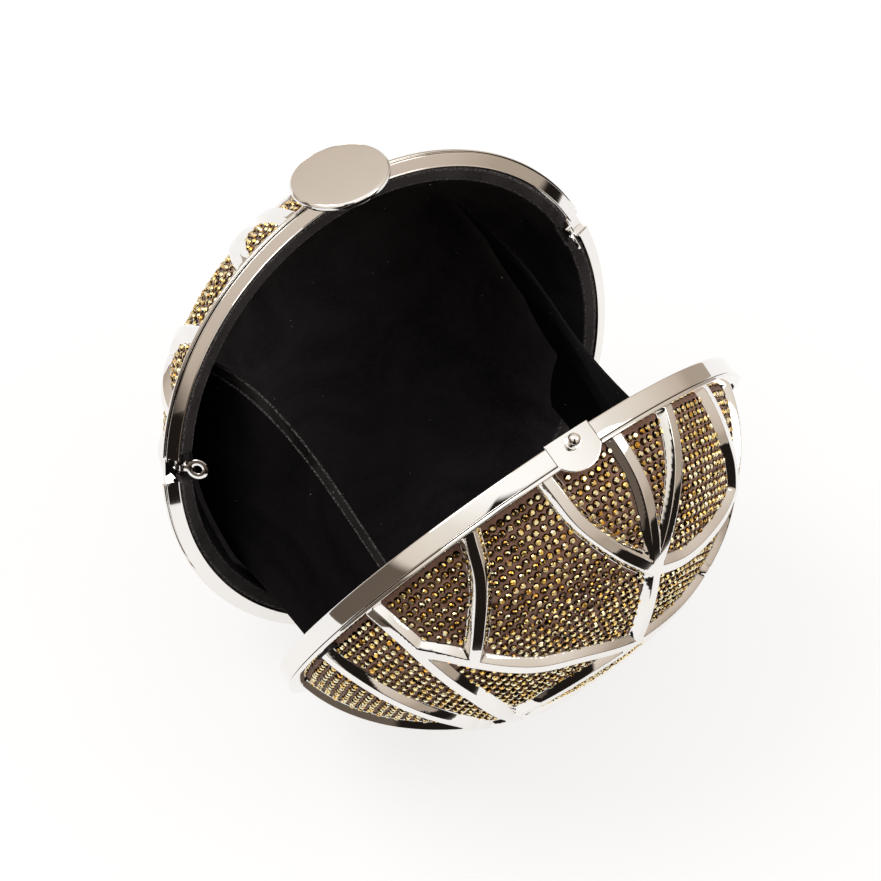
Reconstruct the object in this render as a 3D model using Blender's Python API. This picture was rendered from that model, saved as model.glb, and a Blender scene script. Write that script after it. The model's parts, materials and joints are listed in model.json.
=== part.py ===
# Round hard-shell evening clutch, standing open on its hinge like a V.
#
# Both shells are built closed, in a frame whose origin is the middle of the hinge axis:
# X runs along the hinge, the front shell lies on -Y, the back shell on +Y, and Z goes up
# from the hinge to the clasp. Each shell is then swung half the opening angle about X.
# The world origin is on the table, midway between the shells and the clutch's two sides.

import math

import bmesh
import bpy
from mathutils import Matrix, Vector

# Overall size and stance
RIM_RADIUS = 0.0750
OPEN_ANGLE = math.radians(37.5)
GAP = 0.0003
CUTTER_OVERRUN = 0.0020

# Wide polished band of the front shell, and the flat ring of the back shell that it meets
BAND_DEPTH = 0.0056
BAND_WALL = 0.0016
BAND_EDGE = 0.0005
RING_DEPTH = 0.0015
RING_WIDTH = 0.0035
BEAD_WIDTH = 0.0005
BEAD_RISE = 0.0005
SEAM_GAP = 0.0004

# Outer form of the lattice: half an ellipsoid centred just in front of the seam
DOME_INSET = 0.0018
DOME_DEPTH = 0.0532
DOME_CENTRE = -0.0020

# Cast lattice: a flange under the band, with curved bars over the dome
FLANGE_REACH = 0.0006
FLANGE_THICK = 0.0010
FLANGE_WIDTH = 0.0046
BAR_TOP = 0.0034
BAR_FOOT = 0.0060
BAR_HEIGHT = 0.0020
BAR_SEAT_GAP = 0.0005
BAR_STEP = 0.0085
BOSS_RADIUS = 0.0022
BOSS_FOOT_RADIUS = 0.0034
BOSS_RISE = 0.0002

# Skins under the lattice, from the outside in
CLOTH_THICK = 0.0006
SHELL_WALL = 0.0010
SHELL_SEAT = 0.0044
LINING_WALL = 0.0010
LINING_SEAT = 0.0015
BACK_HEM_DEPTH = 0.0004

# Hinge below the rims
KNUCKLE_RADIUS = 0.0016
KNUCKLE_COUNT = 5
HINGE_LENGTH = 0.0240
HINGE_PIN_RADIUS = 0.0008
LEAF_THICK = 0.0007
LEAF_RISE = 0.0001
LEAF_END = 0.0052
RUNNING_GAP = 0.0001

# Ball catch on the front band
CATCH_WIDTH = 0.0136
CATCH_LOBE_SHARE = 0.566
CATCH_THICK = 0.0008
CATCH_TOP = 0.0004
KNOB_DEPTH = 0.0025
KNOB_BALL_RADIUS = 0.0016
KNOB_BALL_START = -60
KNOB_HEIGHT = 0.0022
KNOB_STEM_RADIUS = 0.0008
KNOB_COLLAR_RADIUS = 0.0019
KNOB_COLLAR_THICK = 0.0004

# Round clasp plate that tilts on a neck on the back ring
DISC_RADIUS = 0.0137
DISC_THICK = 0.0016
DISC_BEVEL = 0.0004
DISC_RISE = 0.0042
DISC_SHIFT = -0.0018
NECK_FOOT_WIDTH = 0.0120
NECK_FOOT_THICK = 0.0006
NECK_FOOT_START = 0.0004
NECK_FOOT_END = 0.0052
NECK_LUG_WIDTH = 0.0044
PIVOT_DEPTH = 0.0033
PIVOT_RISE = 0.0028
PIVOT_EYE_RADIUS = 0.0010
PIVOT_PIN_RADIUS = 0.0005
EAR_THICK = 0.0010
FORK_MOUTH = 0.0040
FORK_PRONG = 0.0009
FORK_THICK = 0.0007
FORK_FRONT = -0.0066
FORK_BACK = 0.0014

# Fold-out chain loops in notches of the back ring
LOOP_ANGLE = math.radians(74.0)
LEFT_LOOP_SWING = math.radians(44.4)
RIGHT_LOOP_SWING = math.radians(72.0)
LOOP_RING_RADIUS = 0.0031
LOOP_HOLE_RADIUS = 0.0013
LOOP_THICK = 0.0009
LOOP_ARM = 0.0054
LOOP_BARREL_RADIUS = 0.0009
LOOP_BARREL_WIDTH = 0.0020
LOOP_PIN_RADIUS = 0.00045
LOOP_PIN_DEPTH = 0.0016
LOOP_PIN_INSET = 0.0050
LOOP_NOTCH_WIDTH = 0.0069
LOOP_NOTCH_DEPTH = 0.0025
LOOP_NOTCH_FLOOR = 0.0012
SADDLE_WALL = 0.0008
SADDLE_DEPTH = 0.0036
BRACKET_CHEEK = 0.0008
BRACKET_FRONT = 0.0009
BRACKET_BASE = 0.0006
BRACKET_START = -0.0010
BRACKET_END = 0.0012

# Velvet gussets that join the two linings at the sides
GUSSET_THICK = 0.0012
GUSSET_SEAM_GAP = 0.0010

# Facet counts
RIM_SIDES = 48
SKIN_SIDES = 32
SKIN_RINGS = 6
SMALL_SIDES = 16
DISC_SIDES = 48
SHARP_ANGLE = math.radians(35)

# Worked out from the sizes above
HALF_ANGLE = OPEN_ANGLE / 2
DOME_RADIUS = RIM_RADIUS - DOME_INSET
FRONT_FLANGE = BAND_DEPTH + GAP
BACK_FLANGE = RING_DEPTH + GAP
FLANGE_RADIUS = RIM_RADIUS + FLANGE_REACH
FLANGE_FLAT = FLANGE_RADIUS * math.cos(math.pi / RIM_SIDES)
CLOTH_OFFSET = BAR_HEIGHT + BAR_SEAT_GAP
SHELL_OFFSET = CLOTH_OFFSET + CLOTH_THICK + GAP
LINING_OFFSET = SHELL_OFFSET + SHELL_WALL + GAP
BAND_INSIDE = RIM_RADIUS - BAND_WALL - GAP
RING_INSIDE = RIM_RADIUS - RING_WIDTH
CATCH_LOBE_RADIUS = CATCH_WIDTH * CATCH_LOBE_SHARE
# The barrel and the front flange's edge touch the table together
FLANGE_DROP = (FRONT_FLANGE + FLANGE_THICK) * math.sin(HALF_ANGLE)
RIM_CENTRE = FLANGE_FLAT + (FLANGE_DROP - KNUCKLE_RADIUS) / math.cos(HALF_ANGLE)
HINGE_HEIGHT = KNUCKLE_RADIUS
RIM_TOP = RIM_CENTRE + RIM_RADIUS
DISC_BOTTOM = RIM_TOP + DISC_RISE

# Junctions of the lattice bars, in shares of the rim radius to the right and up
CROWN_SHARE = (0.127, 0.630)
RIGHT_SHARE = (0.650, 0.410)
LEFT_SHARE = (-0.573, 0.505)
CORE_SHARE = (0.047, 0.273)
LOW_SHARE = (-0.416, -0.004)
FORK_SHARE = (-0.724, 0.505)
JUNCTION_SHARES = [CROWN_SHARE, RIGHT_SHARE, LEFT_SHARE, CORE_SHARE, LOW_SHARE, FORK_SHARE]

# Bars of the upper half. Each starts at a rim angle in degrees or at a junction. The lower
# half repeats them turned half a turn about the dome's axis.
BAR_SHARES = [
    (-8, (-0.096, 0.889), (0.003, 0.775), CROWN_SHARE),
    (10, (0.176, 0.877), (0.152, 0.759), CROWN_SHARE),
    (26, (0.361, 0.829), (0.265, 0.761), CROWN_SHARE),
    (42, (0.657, 0.617), (0.664, 0.520), RIGHT_SHARE),
    (63, (0.790, 0.440), RIGHT_SHARE),
    (RIGHT_SHARE, (0.556, 0.433), (0.432, 0.485), (0.270, 0.550), CROWN_SHARE),
    (CROWN_SHARE, (0.080, 0.448), CORE_SHARE),
    (RIGHT_SHARE, (0.540, 0.275), (0.330, 0.205), CORE_SHARE),
    (-27, (-0.475, 0.777), (-0.536, 0.629), LEFT_SHARE),
    (LEFT_SHARE, (-0.380, 0.449), (-0.190, 0.410), CORE_SHARE),
    (-55, (-0.765, 0.545), FORK_SHARE, (-0.641, 0.383), (-0.550, 0.240), LOW_SHARE),
    (FORK_SHARE, (-0.650, 0.535), LEFT_SHARE),
    (-75, (-0.865, 0.233), (-0.740, 0.148), (-0.583, 0.003), (-0.440, -0.240)),
    (LOW_SHARE, (-0.308, 0.144), (-0.150, 0.240), CORE_SHARE),
    (-104, (-0.850, -0.145), (-0.680, -0.085), (-0.530, -0.070)),
    (LOW_SHARE, (-0.345, -0.205)),
]

# Seam of a gusset on the lining, from its top edge to the rim, in shares of the lining's radius
GUSSET_SEAM_SHARES = [(0.680, 0.500), (0.800, 0.200), (0.880, -0.150), (0.888, -0.410), (0.774, -0.615)]
GUSSET_COLUMNS = 12
# How far a gusset bows in and its top edge rises, as half and whole waves in shares of the rim radius
LEFT_BOW_SHARES = (0.054, 0.010)
LEFT_RISE_SHARES = (0.083, -0.114)
RIGHT_BOW_SHARES = (0.097, 0.066)
RIGHT_RISE_SHARES = (0.190, 0.072)
SLACK_AT_RIM_SHARE = 0.250

CHROME = ((0.80, 0.78, 0.76), 0.08, 1.0)
CRYSTAL = ((0.42, 0.29, 0.11), 0.35, 0.4)
BOARD = ((0.10, 0.09, 0.08), 0.60, 0.0)
VELVET = ((0.012, 0.011, 0.013), 0.95, 0.0)


def clear_scene():
    for item in list(bpy.data.objects):
        bpy.data.objects.remove(item, do_unlink=True)


def finish_material(name, finish):
    colour, roughness, metallic = finish
    material = bpy.data.materials.new(name)
    material.use_nodes = True
    shader = material.node_tree.nodes["Principled BSDF"]
    shader.inputs["Base Color"].default_value = (*colour, 1.0)
    shader.inputs["Roughness"].default_value = roughness
    shader.inputs["Metallic"].default_value = metallic
    material.diffuse_color = (*colour, 1.0)
    return material


def make_empty(name, parent=None, matrix=Matrix.Identity(4)):
    empty = bpy.data.objects.new(name, None)
    bpy.context.collection.objects.link(empty)
    empty.parent = parent
    empty.matrix_local = matrix
    return empty


def make_object(name, mesh):
    item = bpy.data.objects.new(name, mesh)
    bpy.context.collection.objects.link(item)
    return item


def place(item, parent, finish, matrix=Matrix.Identity(4)):
    """Hang a finished piece on its body and give it its own material."""
    item.data.shade_smooth()
    item.data.set_sharp_from_angle(angle=SHARP_ANGLE)
    if not item.material_slots:
        item.data.materials.append(None)
    item.material_slots[0].link = "OBJECT"
    item.material_slots[0].material = finish_material(item.name, finish)
    item.parent = parent
    item.matrix_local = matrix
    return item


def mesh_from(name, points, faces):
    mesh = bpy.data.meshes.new(name)
    mesh.from_pydata(points, [], faces)
    body = bmesh.new()
    body.from_mesh(mesh)
    bmesh.ops.recalc_face_normals(body, faces=body.faces)
    body.to_mesh(mesh)
    body.free()
    mesh.validate()
    return mesh


def lathe(name, outline, sides, frame=Matrix.Identity(4), half_step=False):
    """Turn a closed (radius, height) outline about the frame's Z axis. Its ends may lie on the axis."""
    points = []
    rows = []
    turn = 0.5 if half_step else 0.0
    for radius, height in outline:
        if radius == 0:
            rows.append([len(points)] * sides)
            points.append(frame @ Vector((0, 0, height)))
            continue
        rows.append(list(range(len(points), len(points) + sides)))
        for step in range(sides):
            angle = 2 * math.pi * (step + turn) / sides
            points.append(frame @ Vector((radius * math.cos(angle), radius * math.sin(angle), height)))
    faces = []
    for this_row, next_row in zip(rows, rows[1:] + rows[:1]):
        for step in range(sides):
            after = (step + 1) % sides
            corners = [this_row[step], this_row[after], next_row[after], next_row[step]]
            corners = list(dict.fromkeys(corners))
            if len(corners) > 2:
                faces.append(corners)
    return mesh_from(name, points, faces)


def prism(name, outline, low, high, frame=Matrix.Identity(4)):
    """Extrude a closed (x, y) outline from low to high along the frame's Z axis."""
    count = len(outline)
    points = [frame @ Vector((x, y, low)) for x, y in outline]
    points += [frame @ Vector((x, y, high)) for x, y in outline]
    faces = [list(range(count)), list(range(count, 2 * count))]
    for step in range(count):
        after = (step + 1) % count
        faces.append([step, after, count + after, count + step])
    return mesh_from(name, points, faces)


def block(name, low, high, frame=Matrix.Identity(4)):
    outline = [(low[0], low[1]), (high[0], low[1]), (high[0], high[1]), (low[0], high[1])]
    return prism(name, outline, low[2], high[2], frame)


def arc(centre, radius, start, end, steps):
    """Points of an arc from start to end degrees, both ends included."""
    points = []
    for step in range(steps + 1):
        angle = math.radians(start + (end - start) * step / steps)
        points.append((centre[0] + radius * math.cos(angle), centre[1] + radius * math.sin(angle)))
    return points


def combine(item, mesh, operation, crossing=False):
    """Apply one Boolean of the item with a mesh that is then dropped. Its bodies may cross."""
    tool = make_object("tool", mesh)
    modifier = item.modifiers.new("combine", "BOOLEAN")
    modifier.operation = operation
    modifier.solver = "EXACT"
    modifier.use_self = crossing
    modifier.object = tool
    evaluated = item.evaluated_get(bpy.context.evaluated_depsgraph_get())
    result = bpy.data.meshes.new_from_object(evaluated)
    item.modifiers.clear()
    item.data = result
    bpy.data.objects.remove(tool, do_unlink=True)


def tidy(item, distance=GAP / 100):
    """Merge the slivers that a Boolean leaves along shared edges."""
    body = bmesh.new()
    body.from_mesh(item.data)
    bmesh.ops.remove_doubles(body, verts=body.verts, dist=distance)
    bmesh.ops.dissolve_degenerate(body, edges=body.edges, dist=distance)
    bmesh.ops.recalc_face_normals(body, faces=body.faces)
    body.to_mesh(item.data)
    body.free()


# Turns a lathe's (x, y, height) into the front shell's frame: depth runs to -Y
SHELL_FRAME = Matrix.Translation((0, 0, RIM_CENTRE)) @ Matrix.Rotation(math.pi / 2, 4, "X")
BACK_TURN = Matrix.Rotation(math.pi, 4, "Z")


def dome_sizes(offset):
    return DOME_RADIUS - offset, DOME_DEPTH - DOME_CENTRE - offset


def dome_arc(offset, rim_depth):
    """(radius, depth) points of a skin from the rim to the top of the dome."""
    across, along = dome_sizes(offset)
    start = math.asin((rim_depth - DOME_CENTRE) / along)
    points = []
    for ring in range(SKIN_RINGS):
        angle = start + (math.pi / 2 - start) * ring / SKIN_RINGS
        points.append((across * math.cos(angle), DOME_CENTRE + along * math.sin(angle)))
    points.append((0, DOME_CENTRE + along))
    return points


def shell_point(x, z, offset=0):
    """Point on the front dome, or a skin offset inside it, at x and z from the dome's axis."""
    across, along = dome_sizes(offset)
    height = math.sqrt(1 - (x * x + z * z) / (across * across))
    return Vector((x, -DOME_CENTRE - along * height, RIM_CENTRE + z))


def rim_point(degrees, depth):
    """Point at a depth where a bar leaves the flange, measured from the clasp towards +X."""
    across, along = dome_sizes(0)
    radius = across * math.sqrt(1 - ((depth - DOME_CENTRE) / along) ** 2)
    angle = math.radians(degrees)
    return Vector((radius * math.sin(angle), -depth, RIM_CENTRE + radius * math.cos(angle)))


def onto_dome(point):
    """Move a point straight out to the dome and give the outward direction there."""
    across, along = dome_sizes(0)
    centre = Vector((0, -DOME_CENTRE, RIM_CENTRE))
    arm = point - centre
    scaled = Vector((arm.x / across, arm.y / along, arm.z / across))
    surface = centre + arm / scaled.length
    outward = Vector((arm.x / across ** 2, arm.y / along ** 2, arm.z / across ** 2)).normalized()
    return surface, outward


def smooth_route(knots):
    """Evenly stepped points of a smooth curve through the knots, laid on the dome."""
    padded = [2 * knots[0] - knots[1]] + knots + [2 * knots[-1] - knots[-2]]
    route = []
    for before, start, end, after in zip(padded, padded[1:], padded[2:], padded[3:]):
        steps = max(1, round((end - start).length / BAR_STEP))
        for step in range(steps):
            t = step / steps
            bend = (2 * start + (end - before) * t + (2 * before - 5 * start + 4 * end - after) * t ** 2
                    + (3 * start - before - 3 * end + after) * t ** 3) / 2
            route.append(bend)
    route.append(knots[-1])
    return route


def bar_mesh(bar, rim_depth, turn):
    """One lattice bar: a flat top and sloping sides, swept along its route on the dome."""
    knots = []
    for knot in bar:
        if isinstance(knot, tuple):
            knots.append(shell_point(knot[0] * RIM_RADIUS, knot[1] * RIM_RADIUS))
        else:
            knots.append(rim_point(knot, rim_depth))
    route = smooth_route(knots)
    points = []
    for index, point in enumerate(route):
        surface, outward = onto_dome(point)
        ahead = route[min(index + 1, len(route) - 1)] - route[max(index - 1, 0)]
        side = ahead.cross(outward).normalized()
        foot = surface - outward * BAR_HEIGHT
        corners = [surface + side * BAR_TOP / 2, surface - side * BAR_TOP / 2]
        corners += [foot - side * BAR_FOOT / 2, foot + side * BAR_FOOT / 2]
        if index == 0 and not isinstance(bar[0], tuple):
            # The rim end is cut square inside the flange
            corners = [corner + ahead * (point.y - corner.y) / ahead.y for corner in corners]
        points += corners
    faces = [[0, 1, 2, 3], [len(points) - 4 + corner for corner in range(4)]]
    for row in range(0, len(points) - 4, 4):
        for corner in range(4):
            after = (corner + 1) % 4
            faces.append([row + corner, row + after, row + 4 + after, row + 4 + corner])
    return mesh_from("bar", [turn @ point for point in points], faces)


def boss_mesh(junction, turn):
    """Low round boss that joins the bars at a junction."""
    point, outward = onto_dome(shell_point(junction[0] * RIM_RADIUS, junction[1] * RIM_RADIUS))
    frame = Matrix.Translation(point) @ outward.to_track_quat("Z", "Y").to_matrix().to_4x4()
    outline = [(0, -BAR_HEIGHT), (BOSS_FOOT_RADIUS, -BAR_HEIGHT), (BOSS_RADIUS, BOSS_RISE), (0, BOSS_RISE)]
    return lathe("boss", outline, SMALL_SIDES // 2, turn @ frame)


def lattice_mesh(start, cutters):
    """A flange that starts at a depth, less its cut-outs, with every bar of both halves joined to it."""
    inner = FLANGE_RADIUS - FLANGE_WIDTH
    end = start + FLANGE_THICK
    ring = [(inner, start), (FLANGE_RADIUS, start), (FLANGE_RADIUS, end), (inner, end)]
    lattice = make_object("lattice", lathe("lattice", ring, RIM_SIDES, SHELL_FRAME, half_step=True))
    for cutter in cutters:
        combine(lattice, cutter, "DIFFERENCE")
    spin = Matrix.Translation((0, 0, RIM_CENTRE)) @ Matrix.Rotation(math.pi, 4, "Y")
    spin = spin @ Matrix.Translation((0, 0, -RIM_CENTRE))
    bars = bmesh.new()
    for turn in (Matrix.Identity(4), spin):
        for bar in BAR_SHARES:
            bars.from_mesh(bar_mesh(bar, (start + end) / 2, turn))
        for junction in JUNCTION_SHARES:
            bars.from_mesh(boss_mesh(junction, turn))
    mesh = bpy.data.meshes.new("bars")
    bars.to_mesh(mesh)
    bars.free()
    combine(lattice, mesh, "UNION", crossing=True)
    tidy(lattice)
    mesh = lattice.data
    bpy.data.objects.remove(lattice, do_unlink=True)
    return mesh


def cloth_mesh(start):
    outer = dome_arc(CLOTH_OFFSET, start - GAP / 2)
    inner = dome_arc(CLOTH_OFFSET + CLOTH_THICK, start - GAP / 2)
    return lathe("crystal_cloth", outer[::-1] + inner, SKIN_SIDES, SHELL_FRAME)


def seated_mesh(name, offset, wall, start, edge):
    """Skin of the dome that turns out to an edge at its rim."""
    outer = dome_arc(offset, start + wall)
    inner = dome_arc(offset + wall, start)
    seat = [(edge, start + wall), (edge, start)]
    return lathe(name, outer[::-1] + seat + inner, SKIN_SIDES, SHELL_FRAME)


def plain_dome_mesh():
    """Moulded shell of the back, whose rim ends behind the ring."""
    start = RING_DEPTH + GAP
    outer = dome_arc(SHELL_OFFSET, start)
    inner = dome_arc(SHELL_OFFSET + SHELL_WALL, start)
    return lathe("dome", outer[::-1] + inner, SKIN_SIDES, SHELL_FRAME)


def front_band_mesh():
    inner = RIM_RADIUS - BAND_WALL
    front = SEAM_GAP / 2
    outline = [(inner, front), (RIM_RADIUS - BAND_EDGE, front), (RIM_RADIUS, front + BAND_EDGE)]
    outline += [(RIM_RADIUS, BAND_DEPTH), (inner, BAND_DEPTH)]
    return lathe("front_frame", outline, RIM_SIDES, SHELL_FRAME, half_step=True)


def back_ring_mesh():
    """Flat ring with a rounded outer edge and a raised bead along its inner edge."""
    front = SEAM_GAP / 2
    bead = RING_INSIDE + BEAD_WIDTH
    outline = [(bead, front), (RIM_RADIUS - BAND_EDGE, front), (RIM_RADIUS, front + BAND_EDGE)]
    outline += [(RIM_RADIUS, RING_DEPTH), (RING_INSIDE, RING_DEPTH), (RING_INSIDE, front - BEAD_RISE)]
    outline += [(bead, front - BEAD_RISE)]
    return lathe("back_frame", outline, RIM_SIDES, SHELL_FRAME, half_step=True)


def catch_outline(margin):
    """Catch plate seen from outside: square at the seam, round below the band."""
    radius = CATCH_LOBE_RADIUS + margin
    half = CATCH_WIDTH / 2 + margin
    reach = math.degrees(math.asin(half / radius))
    lobe = arc((0, -KNOB_DEPTH), radius, -90 + reach, -90 - reach, SMALL_SIDES // 2)
    return [(-half, margin - CATCH_TOP), (half, margin - CATCH_TOP)] + lobe


def catch_cutter():
    outer = RIM_RADIUS - CATCH_THICK - GAP
    tube = [(outer, -CUTTER_OVERRUN), (RIM_RADIUS + CUTTER_OVERRUN, -CUTTER_OVERRUN)]
    depth = KNOB_DEPTH + CATCH_LOBE_RADIUS + CUTTER_OVERRUN
    tube += [(RIM_RADIUS + CUTTER_OVERRUN, depth), (outer, depth)]
    cutter = make_object("cutter", lathe("cutter", tube, RIM_SIDES, SHELL_FRAME, half_step=True))
    combine(cutter, prism("window", catch_outline(GAP), RIM_CENTRE, RIM_TOP + CATCH_WIDTH), "INTERSECT")
    mesh = cutter.data
    bpy.data.objects.remove(cutter, do_unlink=True)
    return mesh


def barrel_cutter():
    """Pocket for the hinge barrel, at the foot of the band and the ring."""
    half = HINGE_LENGTH / 2 + GAP
    reach = KNUCKLE_RADIUS + GAP
    return block("cutter", (-half, -reach, -CUTTER_OVERRUN), (half, reach, reach))


def leaf_cutter():
    """Pocket for a hinge leaf, at the foot of the back lattice's flange."""
    half = HINGE_LENGTH / 2 + GAP
    low = (-half, -LEAF_END - GAP, -CUTTER_OVERRUN)
    return block("cutter", low, (half, 0, LEAF_RISE + LEAF_THICK + GAP))


def loop_frame(side):
    """Frame on a loop's pin: X along the rim, Y into the back shell, Z out from the rim's centre."""
    turn = Matrix.Rotation(side * LOOP_ANGLE, 4, "Y")
    radius = RIM_RADIUS - LOOP_PIN_INSET
    return Matrix.Translation((0, 0, RIM_CENTRE)) @ turn @ Matrix.Translation((0, LOOP_PIN_DEPTH, radius))


def notch_cutter(side):
    low = (-LOOP_NOTCH_WIDTH / 2, -LOOP_PIN_DEPTH - CUTTER_OVERRUN, LOOP_NOTCH_FLOOR)
    high = (LOOP_NOTCH_WIDTH / 2, LOOP_NOTCH_DEPTH - LOOP_PIN_DEPTH, LOOP_PIN_INSET + CUTTER_OVERRUN)
    return block("cutter", low, high, loop_frame(side))


def saddle_mesh(side):
    """Block behind the ring that carries it on past a loop's notch."""
    half = LOOP_NOTCH_WIDTH / 2 + SADDLE_WALL
    low = (-half, RING_DEPTH / 2 - LOOP_PIN_DEPTH, LOOP_PIN_INSET - RING_WIDTH)
    high = (half, SADDLE_DEPTH - LOOP_PIN_DEPTH, LOOP_PIN_INSET - BAND_EDGE)
    return block("saddle", low, high, loop_frame(side))


def saddle_cutter(side):
    half = LOOP_NOTCH_WIDTH / 2 + SADDLE_WALL + GAP
    low = (-half, -LOOP_PIN_DEPTH - CUTTER_OVERRUN, LOOP_NOTCH_FLOOR)
    high = (half, SADDLE_DEPTH + GAP - LOOP_PIN_DEPTH, LOOP_PIN_INSET + CUTTER_OVERRUN)
    return block("cutter", low, high, loop_frame(side))


def bracket_half_width():
    return LOOP_BARREL_WIDTH / 2 + RUNNING_GAP + BRACKET_CHEEK


def bracket_floor():
    return LINING_SEAT + LINING_WALL + GAP - LOOP_PIN_DEPTH


def bracket_well_cutter(side):
    """Well through the skins' rims that takes a loop's bracket."""
    half = bracket_half_width() + GAP
    low = (-half, -LOOP_PIN_DEPTH - CUTTER_OVERRUN, -LOOP_PIN_INSET)
    high = (half, bracket_floor() + BRACKET_BASE + GAP, LOOP_PIN_INSET)
    return block("cutter", low, high, loop_frame(side))


def eyelet_slot_cutter(side):
    """Slot in the front shell's skins for a leaning eyelet, when the clutch is closed."""
    half = LOOP_RING_RADIUS + GAP
    reach = LOOP_ARM + LOOP_RING_RADIUS + GAP
    return block("cutter", (-half, -reach, -reach), (half, 0, LOOP_THICK / 2 + GAP), loop_frame(side))


def hinge_leaf(name, shell, own_knuckles):
    """Leaf let into the foot of a band, with every other knuckle of the barrel."""
    step = HINGE_LENGTH / KNUCKLE_COUNT
    edge = shell * (KNUCKLE_RADIUS + GAP)
    end = shell * LEAF_END
    half = HINGE_LENGTH / 2 - GAP
    comb = [(-half, end), (half, end), (half, edge)]
    knuckles = []
    for index in reversed(own_knuckles):
        start = -HINGE_LENGTH / 2 + index * step + GAP / 2
        stop = start + step - GAP
        knuckles.append((start, stop))
        comb += [(stop - GAP, edge), (stop - GAP, 0), (start + GAP, 0), (start + GAP, edge)]
    comb.append((-half, edge))
    leaf = make_object(name, prism(name, comb, LEAF_RISE, LEAF_RISE + LEAF_THICK))
    along_x = Matrix.Rotation(math.pi / 2, 4, "Y")
    for start, stop in knuckles:
        round_off = [(0, start), (KNUCKLE_RADIUS, start), (KNUCKLE_RADIUS, stop), (0, stop)]
        combine(leaf, lathe("knuckle", round_off, SMALL_SIDES, along_x), "UNION")
    bore_end = HINGE_LENGTH / 2 + CUTTER_OVERRUN
    bore_radius = HINGE_PIN_RADIUS + RUNNING_GAP
    bore = [(0, -bore_end), (bore_radius, -bore_end), (bore_radius, bore_end), (0, bore_end)]
    combine(leaf, lathe("bore", bore, SMALL_SIDES, along_x), "DIFFERENCE")
    tidy(leaf)
    return leaf


def hinge_pin():
    half = HINGE_LENGTH / 2
    outline = [(0, -half), (HINGE_PIN_RADIUS, -half), (HINGE_PIN_RADIUS, half), (0, half)]
    return lathe("hinge_pin", outline, SMALL_SIDES, Matrix.Rotation(math.pi / 2, 4, "Y"))


def turned_back(mesh):
    mesh.transform(BACK_TURN)
    return mesh


def build_front_shell(front):
    band = make_object("front_frame", front_band_mesh())
    for cutter in (barrel_cutter(), catch_cutter()):
        combine(band, cutter, "DIFFERENCE")
    place(band, front, CHROME)
    lattice = lattice_mesh(FRONT_FLANGE, [catch_cutter()])
    place(make_object("front_lattice", lattice), front, CHROME)
    place(make_object("front_crystal_cloth", cloth_mesh(FRONT_FLANGE)), front, CRYSTAL)
    dome = seated_mesh("dome", SHELL_OFFSET, SHELL_WALL, SHELL_SEAT, BAND_INSIDE)
    lining = seated_mesh("lining", LINING_OFFSET, LINING_WALL, LINING_SEAT, BAND_INSIDE)
    for name, mesh, finish in (("front_dome", dome, BOARD), ("front_lining", lining, VELVET)):
        item = make_object(name, mesh)
        for side in (-1, 1):
            combine(item, eyelet_slot_cutter(side), "DIFFERENCE")
        place(item, front, finish)


def build_back_shell(back):
    ring = make_object("back_frame", turned_back(back_ring_mesh()))
    combine(ring, barrel_cutter(), "DIFFERENCE")
    for side in (-1, 1):
        combine(ring, saddle_mesh(side), "UNION")
        combine(ring, notch_cutter(side), "DIFFERENCE")
    place(ring, back, CHROME)
    lattice = make_object("back_lattice", turned_back(lattice_mesh(BACK_FLANGE, [leaf_cutter()])))
    for side in (-1, 1):
        combine(lattice, saddle_cutter(side), "DIFFERENCE")
        combine(lattice, bracket_well_cutter(side), "DIFFERENCE")
    tidy(lattice)
    place(lattice, back, CHROME)
    lining = seated_mesh("lining", LINING_OFFSET, LINING_WALL, BACK_HEM_DEPTH, RING_INSIDE - GAP)
    skins = [("back_crystal_cloth", cloth_mesh(BACK_FLANGE), CRYSTAL), ("back_dome", plain_dome_mesh(), BOARD)]
    skins.append(("back_lining", lining, VELVET))
    for name, mesh, finish in skins:
        item = make_object(name, turned_back(mesh))
        for side in (-1, 1):
            combine(item, bracket_well_cutter(side), "DIFFERENCE")
        place(item, back, finish)


def build_hinge(back, front):
    place(hinge_leaf("hinge_leaf_back", 1, range(0, KNUCKLE_COUNT, 2)), back, CHROME)
    place(hinge_leaf("hinge_leaf_front", -1, range(1, KNUCKLE_COUNT, 2)), front, CHROME)
    place(make_object("hinge_pin", hinge_pin()), back, CHROME)


def build_catch(front):
    """Plate let into the front band, with the ball that the clasp holds."""
    inner = RIM_RADIUS - CATCH_THICK
    depth = KNOB_DEPTH + CATCH_LOBE_RADIUS + CUTTER_OVERRUN
    tube = [(inner, 0), (RIM_RADIUS, 0), (RIM_RADIUS, depth), (inner, depth)]
    plate = make_object("catch_plate", lathe("catch_plate", tube, RIM_SIDES, SHELL_FRAME, half_step=True))
    combine(plate, prism("window", catch_outline(0), RIM_CENTRE, RIM_TOP + CATCH_WIDTH), "INTERSECT")
    tidy(plate)
    place(plate, front, CHROME)

    start = GAP
    collar = start + KNOB_COLLAR_THICK
    ball = arc((0, KNOB_HEIGHT), KNOB_BALL_RADIUS, KNOB_BALL_START, 90, SMALL_SIDES // 2)
    outline = [(0, start), (KNOB_COLLAR_RADIUS, start), (KNOB_COLLAR_RADIUS, collar), (KNOB_STEM_RADIUS, collar)]
    outline += ball[:-1] + [(0, KNOB_HEIGHT + KNOB_BALL_RADIUS)]
    knob_frame = Matrix.Translation((0, -KNOB_DEPTH, RIM_TOP))
    knob = make_object("catch_knob", lathe("catch_knob", outline, SMALL_SIDES, knob_frame))
    place(knob, front, CHROME)


def pivot_frame():
    """Frame on the clasp's pin, with the lathe axis along X."""
    height = RIM_TOP + PIVOT_RISE
    return Matrix.Translation((0, PIVOT_DEPTH, height)) @ Matrix.Rotation(math.pi / 2, 4, "Y")


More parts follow.
